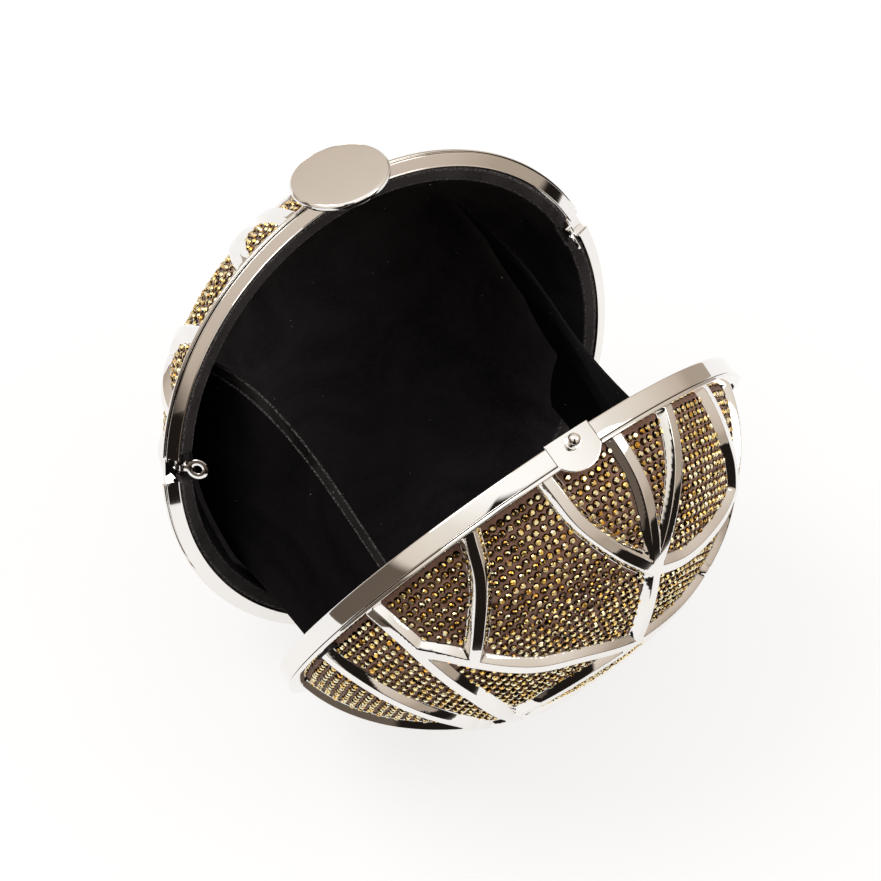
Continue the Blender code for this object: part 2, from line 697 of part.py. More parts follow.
def eye(name, start, stop, top):
    """Round-ended lug about the clasp's pin that reaches up or down to a level."""
    half = PIVOT_EYE_RADIUS
    height = RIM_TOP + PIVOT_RISE
    outline = [(half, start), (half, stop), (0, stop), (0, start)]
    lug = make_object(name, lathe(name, outline, SMALL_SIDES, pivot_frame()))
    low, high = min(top, height), max(top, height)
    combine(lug, block("web", (start, PIVOT_DEPTH - half, low), (stop, PIVOT_DEPTH + half, high)), "UNION")
    return lug


def drill_pivot(item):
    reach = NECK_FOOT_WIDTH
    radius = PIVOT_PIN_RADIUS + RUNNING_GAP
    outline = [(0, -reach), (radius, -reach), (radius, reach), (0, reach)]
    combine(item, lathe("bore", outline, SMALL_SIDES // 2, pivot_frame()), "DIFFERENCE")
    tidy(item)


def build_neck(back):
    """Stepped foot that hugs the ring and clears the flange, with a lug for the clasp's pin."""
    low = RIM_RADIUS + GAP
    high = FLANGE_RADIUS + GAP
    outer = high + NECK_FOOT_THICK
    ring = [(low, NECK_FOOT_START), (outer, NECK_FOOT_START), (outer, NECK_FOOT_END)]
    ring += [(high, NECK_FOOT_END), (high, RING_DEPTH), (low, RING_DEPTH)]
    neck = make_object("clasp_neck", lathe("clasp_neck", ring, RIM_SIDES, SHELL_FRAME, half_step=True))
    neck.data.transform(BACK_TURN)
    half = NECK_FOOT_WIDTH / 2
    window = block("window", (-half, 0, RIM_CENTRE), (half, NECK_FOOT_END + CUTTER_OVERRUN, RIM_TOP + half))
    combine(neck, window, "INTERSECT")
    lug_half = NECK_LUG_WIDTH / 2
    lug = eye("lug", -lug_half, lug_half, RIM_TOP + FLANGE_REACH + GAP + NECK_FOOT_THICK / 2)
    combine(neck, lug.data, "UNION")
    bpy.data.objects.remove(lug, do_unlink=True)
    drill_pivot(neck)
    place(neck, back, CHROME)


def disc_outline():
    """Round plate with a bevelled upper edge, from its axis out and back."""
    top = DISC_THICK
    return [(0, 0), (DISC_RADIUS, 0), (DISC_RADIUS, top - DISC_BEVEL), (DISC_RADIUS - DISC_BEVEL, top), (0, top)]


def build_clasp(clasp):
    """Disc with two ears on the pin, and the spring fork that grips the ball from both sides."""
    to_pivot = Matrix.Translation((0, -PIVOT_DEPTH, -RIM_TOP - PIVOT_RISE))
    disc_frame = Matrix.Translation((0, DISC_SHIFT, DISC_BOTTOM))
    disc = make_object("clasp_disc", lathe("clasp_disc", disc_outline(), DISC_SIDES, disc_frame))
    ear_start = NECK_LUG_WIDTH / 2 + GAP
    for side in (-1, 1):
        edges = sorted((side * ear_start, side * (ear_start + EAR_THICK)))
        ear = eye("ear", edges[0], edges[1], DISC_BOTTOM + DISC_THICK / 2)
        combine(disc, ear.data, "UNION")
        bpy.data.objects.remove(ear, do_unlink=True)
    drill_pivot(disc)
    place(disc, clasp, CHROME, to_pivot)

    inside = FORK_MOUTH / 2
    outside = inside + FORK_PRONG
    bridge = FORK_BACK - FORK_PRONG
    outline = [(-outside, FORK_FRONT), (-inside, FORK_FRONT), (-inside, bridge), (inside, bridge)]
    outline += [(inside, FORK_FRONT), (outside, FORK_FRONT), (outside, FORK_BACK), (-outside, FORK_BACK)]
    top = DISC_BOTTOM - GAP
    fork = make_object("clasp_spring_fork", prism("clasp_spring_fork", outline, top - FORK_THICK, top))
    place(fork, clasp, CHROME, to_pivot)

    half = ear_start + EAR_THICK
    outline = [(0, -half), (PIVOT_PIN_RADIUS, -half), (PIVOT_PIN_RADIUS, half), (0, half)]
    pin = make_object("clasp_pin", lathe("clasp_pin", outline, SMALL_SIDES // 2, pivot_frame()))
    place(pin, clasp, CHROME, to_pivot)


def bracket_mesh(side):
    """Two cheeks on a base plate that sits in the ring's notch and the well behind it."""
    frame = loop_frame(side)
    half = bracket_half_width()
    inner = half - BRACKET_CHEEK
    top = BRACKET_FRONT - LOOP_PIN_DEPTH
    floor = bracket_floor()
    outline = [(-half, top), (-inner, top), (-inner, floor), (inner, floor), (inner, top), (half, top)]
    outline += [(half, floor + BRACKET_BASE), (-half, floor + BRACKET_BASE)]
    bracket = make_object("bracket", prism("bracket", outline, BRACKET_START, BRACKET_END, frame))
    reach = half + CUTTER_OVERRUN
    radius = LOOP_PIN_RADIUS + RUNNING_GAP
    bore = [(0, -reach), (radius, -reach), (radius, reach), (0, reach)]
    along_x = frame @ Matrix.Rotation(math.pi / 2, 4, "Y")
    combine(bracket, lathe("bore", bore, SMALL_SIDES // 2, along_x), "DIFFERENCE")
    mesh = bracket.data
    bpy.data.objects.remove(bracket, do_unlink=True)
    return mesh


def loop_mesh():
    """Flat eyelet on an arm with a barrel, pointing in from its pin."""
    half = LOOP_BARREL_WIDTH / 2
    thick = LOOP_THICK / 2
    lie_flat = Matrix.Rotation(math.pi / 2, 4, "X")
    along_x = Matrix.Rotation(math.pi / 2, 4, "Y")
    centre = Matrix.Translation((0, 0, -LOOP_ARM))
    disc = [(0, -thick), (LOOP_RING_RADIUS, -thick), (LOOP_RING_RADIUS, thick), (0, thick)]
    loop = make_object("loop", lathe("loop", disc, SMALL_SIDES + SMALL_SIDES // 2, centre @ lie_flat))
    combine(loop, block("arm", (-half, -thick, -LOOP_ARM), (half, thick, 0)), "UNION")
    barrel = [(0, -half), (LOOP_BARREL_RADIUS, -half), (LOOP_BARREL_RADIUS, half), (0, half)]
    combine(loop, lathe("barrel", barrel, SMALL_SIDES, along_x), "UNION")
    reach = LOOP_RING_RADIUS
    hole = [(0, -reach), (LOOP_HOLE_RADIUS, -reach), (LOOP_HOLE_RADIUS, reach), (0, reach)]
    combine(loop, lathe("hole", hole, SMALL_SIDES, centre @ lie_flat), "DIFFERENCE")
    radius = LOOP_PIN_RADIUS + RUNNING_GAP
    bore = [(0, -reach), (radius, -reach), (radius, reach), (0, reach)]
    combine(loop, lathe("bore", bore, SMALL_SIDES // 2, along_x), "DIFFERENCE")
    tidy(loop)
    mesh = loop.data
    bpy.data.objects.remove(loop, do_unlink=True)
    return mesh


def build_loops(back):
    half = bracket_half_width()
    pin = [(0, -half), (LOOP_PIN_RADIUS, -half), (LOOP_PIN_RADIUS, half), (0, half)]
    eyelet = loop_mesh()
    for side, name, swing_angle in ((-1, "left", LEFT_LOOP_SWING), (1, "right", RIGHT_LOOP_SWING)):
        place(make_object("loop_bracket_" + name, bracket_mesh(side)), back, CHROME)
        along_x = Matrix.Rotation(math.pi / 2, 4, "Y")
        pin_item = make_object("loop_pin_" + name, lathe("loop_pin_" + name, pin, SMALL_SIDES // 2, along_x))
        place(pin_item, back, CHROME, loop_frame(side))
        swung = loop_frame(side) @ Matrix.Rotation(-swing_angle, 4, "X")
        swing = make_empty("loop_swing_" + name, back, swung)
        place(make_object("chain_loop_" + name, eyelet.copy()), swing, CHROME)


def waves(shares, t):
    """Half and whole waves across a gusset, as a length."""
    return RIM_RADIUS * (shares[0] * math.sin(math.pi * t) + shares[1] * math.sin(2 * math.pi * t))


def gusset_mesh(side, bow_shares, rise_shares):
    """Velvet panel from one lining to the other, bowed in, with a slack top edge."""
    swing_back = Matrix.Rotation(-HALF_ANGLE, 4, "X") @ BACK_TURN @ Matrix.Diagonal((-1, 1, 1, 1))
    swing_front = Matrix.Rotation(HALF_ANGLE, 4, "X")
    offset = LINING_OFFSET + LINING_WALL + GUSSET_SEAM_GAP + GUSSET_THICK / 2
    radius = dome_sizes(offset)[0]
    centres = []
    for row, (across, up) in enumerate(GUSSET_SEAM_SHARES):
        seam = shell_point(across * radius, up * radius, offset)
        start, end = swing_front @ seam, swing_back @ seam
        share = row / (len(GUSSET_SEAM_SHARES) - 1)
        slack = 1 - (1 - SLACK_AT_RIM_SHARE) * share
        for column in range(GUSSET_COLUMNS + 1):
            t = column / GUSSET_COLUMNS
            point = start.lerp(end, t)
            point.x -= slack * waves(bow_shares, t)
            point.z += (1 - share) ** 2 * waves(rise_shares, t)
            centres.append(point)
    rows = len(GUSSET_SEAM_SHARES)
    width = GUSSET_COLUMNS + 1
    points = []
    for face in (-1, 1):
        for point in centres:
            shifted = point + Vector((face * GUSSET_THICK / 2, 0, 0))
            points.append(Vector((side * shifted.x, shifted.y, shifted.z)))
    sheet = len(centres)
    faces = []
    for row in range(rows - 1):
        for column in range(GUSSET_COLUMNS):
            corner = row * width + column
            quad = [corner, corner + 1, corner + width + 1, corner + width]
            faces += [quad, [sheet + index for index in quad]]
    border = list(range(width))
    border += [row * width + GUSSET_COLUMNS for row in range(1, rows)]
    border += [(rows - 1) * width + column for column in range(GUSSET_COLUMNS - 1, -1, -1)]
    border += [row * width for row in range(rows - 2, 0, -1)]
    for here, after in zip(border, border[1:] + border[:1]):
        faces.append([here, after, sheet + after, sheet + here])
    return mesh_from("gusset", points, faces)


def build_gussets(stand):
    left = gusset_mesh(-1, LEFT_BOW_SHARES, LEFT_RISE_SHARES)
    place(make_object("gusset_left", left), stand, VELVET)
    right = gusset_mesh(1, RIGHT_BOW_SHARES, RIGHT_RISE_SHARES)
    place(make_object("gusset_right", right), stand, VELVET)


def build_clutch():
    clear_scene()
    stand = make_empty("stand", None, Matrix.Translation((0, 0, HINGE_HEIGHT)))
    back = make_empty("back_shell", stand, Matrix.Rotation(-HALF_ANGLE, 4, "X"))
    front = make_empty("front_shell", stand, Matrix.Rotation(HALF_ANGLE, 4, "X"))
    clasp = make_empty("clasp", back, Matrix.Translation((0, PIVOT_DEPTH, RIM_TOP + PIVOT_RISE)))
    build_front_shell(front)
    build_back_shell(back)
    build_hinge(back, front)
    build_catch(front)
    build_neck(back)
    build_clasp(clasp)
    build_loops(back)
    build_gussets(stand)


build_clutch()
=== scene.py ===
"""Round evening clutch standing open on a white studio floor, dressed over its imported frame."""

import json
import math

import bmesh
import bpy
import numpy as np
from mathutils import Matrix, Vector


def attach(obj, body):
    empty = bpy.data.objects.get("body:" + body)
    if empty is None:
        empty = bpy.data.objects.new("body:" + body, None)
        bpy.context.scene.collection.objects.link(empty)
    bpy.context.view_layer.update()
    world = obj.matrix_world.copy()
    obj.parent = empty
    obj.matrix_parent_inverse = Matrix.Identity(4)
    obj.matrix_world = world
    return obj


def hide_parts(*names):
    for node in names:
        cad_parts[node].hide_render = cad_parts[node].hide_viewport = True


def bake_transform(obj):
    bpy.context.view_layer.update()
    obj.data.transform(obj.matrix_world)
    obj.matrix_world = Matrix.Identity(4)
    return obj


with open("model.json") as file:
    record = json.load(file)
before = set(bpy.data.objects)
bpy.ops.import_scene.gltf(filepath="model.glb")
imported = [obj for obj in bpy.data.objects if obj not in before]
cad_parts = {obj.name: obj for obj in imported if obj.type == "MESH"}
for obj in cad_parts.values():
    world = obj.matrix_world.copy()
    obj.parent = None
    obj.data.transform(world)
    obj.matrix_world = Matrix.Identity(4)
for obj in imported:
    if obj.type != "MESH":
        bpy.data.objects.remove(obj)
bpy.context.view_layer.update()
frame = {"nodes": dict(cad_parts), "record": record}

MM = 0.001

# Stance of the two shells
HALF_ANGLE = math.radians(18.75)
HINGE_HEIGHT = 1.6 * MM
RIM_CENTRE = 76.0907 * MM
RIM_RADIUS = 75.0 * MM
STAND = Matrix.Translation((0, 0, HINGE_HEIGHT))
BACK_SHELL = STAND @ Matrix.Rotation(-HALF_ANGLE, 4, "X")
FRONT_SHELL = STAND @ Matrix.Rotation(HALF_ANGLE, 4, "X")
BACK_SKIN = BACK_SHELL @ Matrix.Rotation(math.pi, 4, "Z")

# Outer form of the lattice, and how far each skin lies inside it
DOME_RADIUS = 73.2 * MM
DOME_REACH = 55.2 * MM
DOME_CENTRE = -2.0 * MM
CLOTH_INSET = 2.5 * MM
LINING_INSET = 5.6 * MM

# Front band, back ring with its bead, and the flange of each lattice
BAND_INNER = 73.4 * MM
BAND_DEPTH = 5.6 * MM
RING_INNER = 71.5 * MM
RING_DEPTH = 1.5 * MM
BEAD_OUTER = 71.85 * MM
BEAD_TOP = -0.05 * MM
RING_FALL = 0.85 * MM
SEAM = 0.2 * MM
FLANGE_STARTS = {"front": 5.9 * MM, "back": 1.8 * MM}
FLANGE_THICK = 1.0 * MM
FLANGE_OUTER = 75.6 * MM
FLANGE_INNER = 71.0 * MM
RIM_SIDES = 240

# Section of a lattice bar. Each pair is how far a line lies beyond the flat top and below it, in mm
BAR_TOP = 2.5 * MM
BAR_BLEND = 0.10 * MM
BAR_SECTION = [(0.0, 0.0), (0.10, 0.02), (0.20, 0.08), (0.30, 0.18),
               (0.92, 0.92), (1.54, 1.72), (1.74, 2.0), (1.88, 2.06)]
BAR_GRID = 0.55 * MM
BAR_SNAP = 0.035 * MM
BAR_FOOT = 2.75 * MM
BAR_REACH = 5 * MM
ROUTE_STEP = 0.45 * MM

# Junctions and bars of the upper half, in shares of the rim radius to the right and up
CROWN = (0.127, 0.630)
RIGHT = (0.650, 0.410)
LEFT = (-0.573, 0.499)
CORE = (0.047, 0.273)
LOW = (-0.416, -0.004)
FORK = (-0.724, 0.505)
BARS = [
    (-8, (-0.096, 0.889), (0.003, 0.775), CROWN),
    (10, (0.176, 0.877), (0.152, 0.759), CROWN),
    (26, (0.361, 0.829), (0.265, 0.761), CROWN),
    (42, (0.657, 0.617), (0.664, 0.520), RIGHT),
    (63, (0.790, 0.440), RIGHT),
    (RIGHT, (0.556, 0.433), (0.432, 0.485), (0.270, 0.550), CROWN),
    (CROWN, (0.080, 0.448), CORE),
    (RIGHT, (0.540, 0.275), (0.330, 0.205), CORE),
    (-27, (-0.475, 0.777), (-0.536, 0.629), LEFT),
    (LEFT, (-0.380, 0.438), (-0.190, 0.398), CORE),
    (-55, (-0.765, 0.545), FORK, (-0.641, 0.383), (-0.550, 0.240), LOW),
    (FORK, (-0.650, 0.514), LEFT),
    (-75, (-0.865, 0.233), (-0.740, 0.148), (-0.583, 0.003), (-0.440, -0.240)),
    (LOW, (-0.308, 0.144), (-0.150, 0.240), CORE),
    (-104, (-0.850, -0.145), (-0.680, -0.085), (-0.530, -0.070)),
    (LOW, (-0.345, -0.205)),
]

# Crystals in rows that follow the rim
CRYSTAL_RADIUS = 1.02 * MM
CRYSTAL_PITCH = 2.30 * MM
ROW_PITCH = 2.50 * MM
FIRST_ROW_GAP = 0.9 * MM
ROW_STRAY = 0.06 * MM
BEARING_STRAY = 0.05
STONE_LEAN = math.radians(4.5)

# Turned hem of each lining: where it starts behind the rim, how far out it reaches, and its inner edge
HEM_DEPTHS = {"back": 0.4 * MM, "front": 1.5 * MM}
HEM_EDGES = {"back": 71.2 * MM, "front": 73.1 * MM}
HEM_INNER = 67.0 * MM
HEM_FADE = 8 * MM

# Eyelets: place on the rim, lean at rest, pin, and the dents and gaps that their way needs
LOOP_ANGLE = math.radians(74.0)
LOOP_SWINGS = {-1: math.radians(44.4), 1: math.radians(72.0)}
LOOP_PIN_DEPTH = 1.6 * MM
LOOP_PIN_INSET = 5.0 * MM
EYELET_ARM = 4.6 * MM
EYELET_RADIUS = 3.1 * MM
EYELET_HOLE = 1.3 * MM
EYELET_HALF_THICK = 0.45 * MM
EYELET_HALF_WIDTH = 1.0 * MM
BARREL_RADIUS = 0.9 * MM
BARS_CLEAR_HALF = 4.6 * MM
BARS_CLEAR_DEPTH = 3.2 * MM
DENT_HALF = 3.8 * MM
DENT_SLOPE = 1.6 * MM
EYELET_DENT = {"back": 2.1 * MM, "front": 5.2 * MM}
LINING_DENT_FADE = 8 * MM
HEM_DENT_FADE = 50 * MM

# Tones of the finishes
CHROME_TONES = [(0.0, (0.86, 0.83, 0.80, 1)), (1.0, (0.91, 0.885, 0.86, 1))]
# Amber of the stones: the low end is painted shadow and shade, the high end painted glints, the middle the
# stones' own tone
CRYSTAL_TONES_WITH_PAINTED_LIGHT = [(0.0, (0.012, 0.006, 0.003, 1)), (0.16, (0.07, 0.024, 0.005, 1)),
                 (0.34, (0.52, 0.20, 0.018, 1)), (0.58, (0.96, 0.51, 0.070, 1)),
                 (0.80, (1.0, 0.77, 0.24, 1)), (1.0, (1.0, 0.93, 0.62, 1))]
NET_DARK = (0.115, 0.056, 0.037, 1)
NET_PALE = (0.40, 0.215, 0.150, 1)
PILE_TONES = [(0.0085, 0.0076, 0.0080), (0.030, 0.0265, 0.0280), (0.034, 0.031, 0.032)]
# Paler velvet for the band along a hemmed edge: painted sheen
HEM_SHEEN_TONE = (0.055, 0.050, 0.050, 1)
THREAD_TONE = (0.16, 0.15, 0.15, 1)
LINT_TONE = (0.62, 0.60, 0.58, 1)
BOARD_TONE = (0.02, 0.018, 0.016, 1)

# Lint on the velvet: cells in a metre, share of the cells with a fibre, and a fibre's radius in metres
LINT_SIZES = [(180.0, 0.10, 0.00026), (600.0, 0.035, 0.00012)]


# Materials


def new_material(name):
    """Material with its nodes, its links and its own Principled shader."""
    material = bpy.data.materials.new(name)
    material.use_nodes = True
    nodes = material.node_tree.nodes
    return material, nodes, material.node_tree.links, nodes["Principled BSDF"]


def add(nodes, kind, **settings):
    """New node. A setting that starts with in_ is an input's value, and any other a property."""
    node = nodes.new(kind)
    for key, value in settings.items():
        if key.startswith("in_"):
            node.inputs[key[3:].replace("_", " ")].default_value = value
        else:
            setattr(node, key, value)
    return node


def set_inputs(node, **values):
    """Plain values on a node's own sockets, with _ for a space in a socket's name."""
    for key, value in values.items():
        node.inputs[key.replace("_", " ")].default_value = value


def new_group(name, inputs, outputs):
    """Shader node group with named sockets. Inputs come as (kind, name, value), outputs as (kind, name)."""
    group = bpy.data.node_groups.new(name, "ShaderNodeTree")
    for kind, label, value in inputs:
        socket = group.interface.new_socket(label, in_out="INPUT", socket_type="NodeSocket" + kind)
        if value is not None:
            socket.default_value = value
    for kind, label in outputs:
        group.interface.new_socket(label, in_out="OUTPUT", socket_type="NodeSocket" + kind)
    nodes = group.nodes
    return group, nodes, group.links, nodes.new("NodeGroupInput"), nodes.new("NodeGroupOutput")


def use_group(nodes, group, **values):
    """Place a node group with its own values."""
    node = nodes.new("ShaderNodeGroup")
    node.node_tree = group
    set_inputs(node, **values)
    return node


def ramped(nodes, tones):
    """Colour ramp with a stop for each (position, colour)."""
    ramp = nodes.new("ShaderNodeValToRGB")
    stops = ramp.color_ramp.elements
    for index, (position, colour) in enumerate(tones):
        stop = stops[index] if index < 2 else stops.new(position)
        stop.position = position
        stop.color = colour
    return ramp


def softly(nodes, links, source, low, high, least=0.0):
    """Share that rises from the least to 1 while the source goes from low to high."""
    step = add(nodes, "ShaderNodeMapRange", interpolation_type="SMOOTHSTEP")
    set_inputs(step, From_Min=min(low, high), From_Max=max(low, high))
    if high < low:
        set_inputs(step, To_Min=1.0, To_Max=least)
    else:
        set_inputs(step, To_Min=least, To_Max=1.0)
    links.new(source, step.inputs["Value"])
    return step.outputs["Result"]


def calculated(nodes, links, operation, first, second=None):
    """Result of one calculation with two outputs or plain numbers."""
    node = add(nodes, "ShaderNodeMath", operation=operation)
    for socket, value in zip(node.inputs, (first, second)):
        if isinstance(value, (int, float)):
            socket.default_value = value
        elif value is not None:
            links.new(value, socket)
    return node.outputs["Value"]


def mixed(nodes, links, share, low, high):
    """Colour between two colours, each an output or a plain colour."""
    node = add(nodes, "ShaderNodeMix", data_type="RGBA")
    for index, value in ((0, share), (6, low), (7, high)):
        if isinstance(value, tuple):
            node.inputs[index].default_value = value
        else:
            links.new(value, node.inputs[index])
    return node.outputs[2]


def clouds(nodes, links, place, **settings):
    """Noise over a place, from 0 to 1."""
    noise = add(nodes, "ShaderNodeTexNoise", **settings)
    links.new(place, noise.inputs["Vector"])
    return noise.outputs["Fac"]


def grain_group():
    """Fine unevenness of a surface: its height, and the normal that it gives."""
    group, nodes, links, given, made = new_group(
        "grain",
        [("Vector", "Place", None), ("Float", "Per Metre", 1000.0), ("Float", "Detail", 3.0),
         ("Float", "Strength", 0.5), ("Float", "Depth", 0.0001)],
        [("Float", "Height"), ("Vector", "Normal")])
    noise = add(nodes, "ShaderNodeTexNoise")
    bump = add(nodes, "ShaderNodeBump")
    for label, socket in (("Place", noise.inputs["Vector"]), ("Per Metre", noise.inputs["Scale"]),
                          ("Detail", noise.inputs["Detail"]), ("Strength", bump.inputs["Strength"]),
                          ("Depth", bump.inputs["Distance"])):
        links.new(given.outputs[label], socket)
    links.new(noise.outputs["Fac"], bump.inputs["Height"])
    links.new(noise.outputs["Fac"], made.inputs["Height"])
    links.new(bump.outputs["Normal"], made.inputs["Normal"])
    return group


def grained(nodes, links, shader, grain, place, **values):
    """Give a shader its grain, and return the grain's height."""
    surface = use_group(nodes, grain, **values)
    links.new(place, surface.inputs["Place"])
    links.new(surface.outputs["Normal"], shader.inputs["Normal"])
    return surface.outputs["Height"]


def chrome(grain):
    """Polished plate, with faint clouds in its colour and polish and a slow ripple from the casting."""
    material, nodes, links, shader = new_material("polished_chrome")
    place = add(nodes, "ShaderNodeTexCoord").outputs["Object"]
    tone = ramped(nodes, CHROME_TONES)
    links.new(clouds(nodes, links, place, in_Scale=90.0, in_Detail=3.0), tone.inputs["Fac"])
    links.new(tone.outputs["Color"], shader.inputs["Base Color"])
    haze = clouds(nodes, links, place, in_Scale=600.0, in_Detail=4.0, in_Roughness=0.65)
    polish = add(nodes, "ShaderNodeMapRange", in_To_Min=0.015, in_To_Max=0.06)
    links.new(haze, polish.inputs["Value"])
    links.new(polish.outputs["Result"], shader.inputs["Roughness"])
    grained(nodes, links, shader, grain, place, Per_Metre=140.0, Detail=1.0, Strength=0.25, Depth=0.00005)
    set_inputs(shader, Metallic=1.0)
    return material


def crystal():
    """Foiled amber glass. Each facet's tone, from dark smoke to pale gold, is its stone's own tone with a
    painted glint or a painted shadow on top.
    """
    material, nodes, links, shader = new_material("amber_crystal")
    tone = add(nodes, "ShaderNodeAttribute", attribute_name="tone")
    amber = ramped(nodes, CRYSTAL_TONES_WITH_PAINTED_LIGHT)
    links.new(tone.outputs["Fac"], amber.inputs["Fac"])
    links.new(amber.outputs["Color"], shader.inputs["Base Color"])
    set_inputs(shader, Metallic=1.0, Roughness=0.09, Coat_Weight=0.3, Coat_Roughness=0.03)
    return material


def crystal_net():
    """Mauve-brown knitted net that carries the crystals."""
    material, nodes, links, shader = new_material("crystal_net")
    place = add(nodes, "ShaderNodeTexCoord").outputs["Object"]
    patches = clouds(nodes, links, place, in_Scale=260.0, in_Detail=3.0)
    links.new(mixed(nodes, links, patches, NET_DARK, NET_PALE), shader.inputs["Base Color"])
    set_inputs(shader, Roughness=0.75, Sheen_Weight=0.25)
    cells = add(nodes, "ShaderNodeTexVoronoi", in_Scale=1500.0)
    links.new(place, cells.inputs["Vector"])
    bump = add(nodes, "ShaderNodeBump", in_Strength=0.7, in_Distance=0.0002)
    links.new(cells.outputs["Distance"], bump.inputs["Height"])
    links.new(bump.outputs["Normal"], shader.inputs["Normal"])
    return material


def lint_group():
    """Mask of tiny bright fibres, at a spacing and size that the cloth chooses."""
    group, nodes, links, given, made = new_group(
        "lint",
        [("Vector", "Place", None), ("Float", "Per Metre", 200.0), ("Float", "Share", 0.1),
         ("Float", "Radius", 0.0002)],
        [("Float", "Mask")])
    cells = add(nodes, "ShaderNodeTexVoronoi", in_Randomness=1.0)
    links.new(given.outputs["Place"], cells.inputs["Vector"])
    links.new(given.outputs["Per Metre"], cells.inputs["Scale"])
    size = calculated(nodes, links, "MULTIPLY", given.outputs["Radius"], given.outputs["Per Metre"])
    near = calculated(nodes, links, "LESS_THAN", cells.outputs["Distance"], size)
    pick = add(nodes, "ShaderNodeSeparateColor")
    links.new(cells.outputs["Color"], pick.inputs["Color"])
    chosen = calculated(nodes, links, "LESS_THAN", pick.outputs["Red"], given.outputs["Share"])
    links.new(calculated(nodes, links, "MULTIPLY", near, chosen), made.inputs["Mask"])
    return group


def seam_line(nodes, links, source, middle, half_width):
    """1 on a seam's line, where a hem value passes the middle, and 0 beside it."""
    away = calculated(nodes, links, "ABSOLUTE", calculated(nodes, links, "SUBTRACT", source, middle))
    return softly(nodes, links, away, half_width, half_width * 0.3)


def velvet(name, level, grain, lint):
    """Black velvet: brushed pile; near the hemmed edge that the mesh marks, a paler streaky band of painted
    sheen and stitched seams; and lint.
    """
    material, nodes, links, shader = new_material(name)
    place = add(nodes, "ShaderNodeTexCoord").outputs["Object"]
    pile = grained(nodes, links, shader, grain, place,
                   Per_Metre=1900.0, Detail=3.0, Strength=0.5, Depth=0.0003)
    nap = clouds(nodes, links, place, in_Scale=30.0, in_Detail=6.0, in_Roughness=0.68, in_Distortion=0.9)
    # The level scales every pile tone, so a low level gives a darker copy that paints shade
    deep, brushed, tip = [(red * level, green * level, blue * level, 1) for red, green, blue in PILE_TONES]
    ramp = ramped(nodes, [(0.30, deep), (0.78, brushed)])
    links.new(nap, ramp.inputs["Fac"])
    tufts = add(nodes, "ShaderNodeMapRange", in_From_Min=0.35, in_From_Max=0.75, in_To_Max=0.35)
    links.new(pile, tufts.inputs["Value"])
    colour = mixed(nodes, links, tufts.outputs["Result"], ramp.outputs["Color"], tip)

    hem = add(nodes, "ShaderNodeAttribute", attribute_name="hem").outputs["Fac"]
    # Painted sheen: a paler streaky band along the turned edge, where the fold catches light
    turned_edge_sheen, streaks = softly(nodes, links, hem, 0.45, 0.55), softly(nodes, links, nap, 0.35, 0.62)
    band = calculated(nodes, links, "MULTIPLY", turned_edge_sheen, streaks)
    band = calculated(nodes, links, "MULTIPLY", band, 0.30)
    colour = mixed(nodes, links, band, colour, HEM_SHEEN_TONE)
    edge_seam, inner_seam = seam_line(nodes, links, hem, 0.93, 0.07), seam_line(nodes, links, hem, 0.52, 0.06)
    seams = calculated(nodes, links, "MAXIMUM", edge_seam, inner_seam)
    seams = calculated(nodes, links, "MULTIPLY", seams, softly(nodes, links, pile, 0.38, 0.72))
    colour = mixed(nodes, links, seams, colour, THREAD_TONE)

    for spacing, share, radius in LINT_SIZES:
        fibres = use_group(nodes, lint, Per_Metre=spacing, Share=share, Radius=radius)
        links.new(place, fibres.inputs["Place"])
        colour = mixed(nodes, links, fibres.outputs["Mask"], colour, LINT_TONE)
    links.new(colour, shader.inputs["Base Color"])
    set_inputs(shader, Roughness=1.0, Specular_IOR_Level=0.0)
    set_inputs(shader, Sheen_Weight=0.03, Sheen_Roughness=0.35, Sheen_Tint=(0.75, 0.72, 0.74, 1))
    return material


def board(grain):
    """Dark moulded shell board with a fine matte grain."""
    material, nodes, links, shader = new_material("moulded_board")
    place = add(nodes, "ShaderNodeTexCoord").outputs["Object"]
    grained(nodes, links, shader, grain, place, Per_Metre=900.0, Detail=3.0, Strength=0.4, Depth=0.0001)
    set_inputs(shader, Base_Color=BOARD_TONE, Roughness=0.7)
    return material


# Mesh helpers


def make_piece(name, points, faces, place, body, finish, replaces=(), sharp=35, smooth=True):
    """Build one piece from points in its shell's frame, finish it and let it ride on a body."""
    mesh = bpy.data.meshes.new(name)
    mesh.from_pydata(np.asarray(points, float).tolist(), [], faces)
    return dress(name, mesh, place, body, finish, replaces, sharp, smooth)


def dress(name, mesh, place, body, finish, replaces=(), sharp=35, smooth=True):
    """Turn a mesh into a piece: put it in place, shade it, finish it and let it ride on a body."""
    mesh.transform(place)
    mesh.validate()
    if smooth:
        mesh.shade_smooth()
        mesh.set_sharp_from_angle(angle=math.radians(sharp))
    mesh.materials.clear()
    mesh.materials.append(finish)
    mesh.name = name
    piece = bpy.data.objects.new(name, mesh)
    bpy.context.scene.collection.objects.link(piece)
    if body:
        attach(piece, body)
    if replaces:
        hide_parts(*replaces)
    return piece


def face_outwards(mesh):
    """Turn a mesh's faces outwards, and return it."""
    form = bmesh.new()
    form.from_mesh(mesh)
    bmesh.ops.recalc_face_normals(form, faces=form.faces)
    form.to_mesh(mesh)
    form.free()
    return mesh


def formed(name, points, faces):
    """Mesh of points and faces, turned outwards."""
    mesh = bpy.data.meshes.new(name)
    mesh.from_pydata(points, [], faces)
    return face_outwards(mesh)


def grid_faces(rows, columns):
    """Faces of a grid whose points are stored row by row."""
    width = columns + 1
    return [[corner, corner + 1, corner + width + 1, corner + width]
            for row in range(rows) for corner in range(row * width, row * width + columns)]


def oblong(half_width, low, high):
    """Outline of an upright rectangle about X = 0."""
    return [(-half_width, low), (half_width, low), (half_width, high), (-half_width, high)]


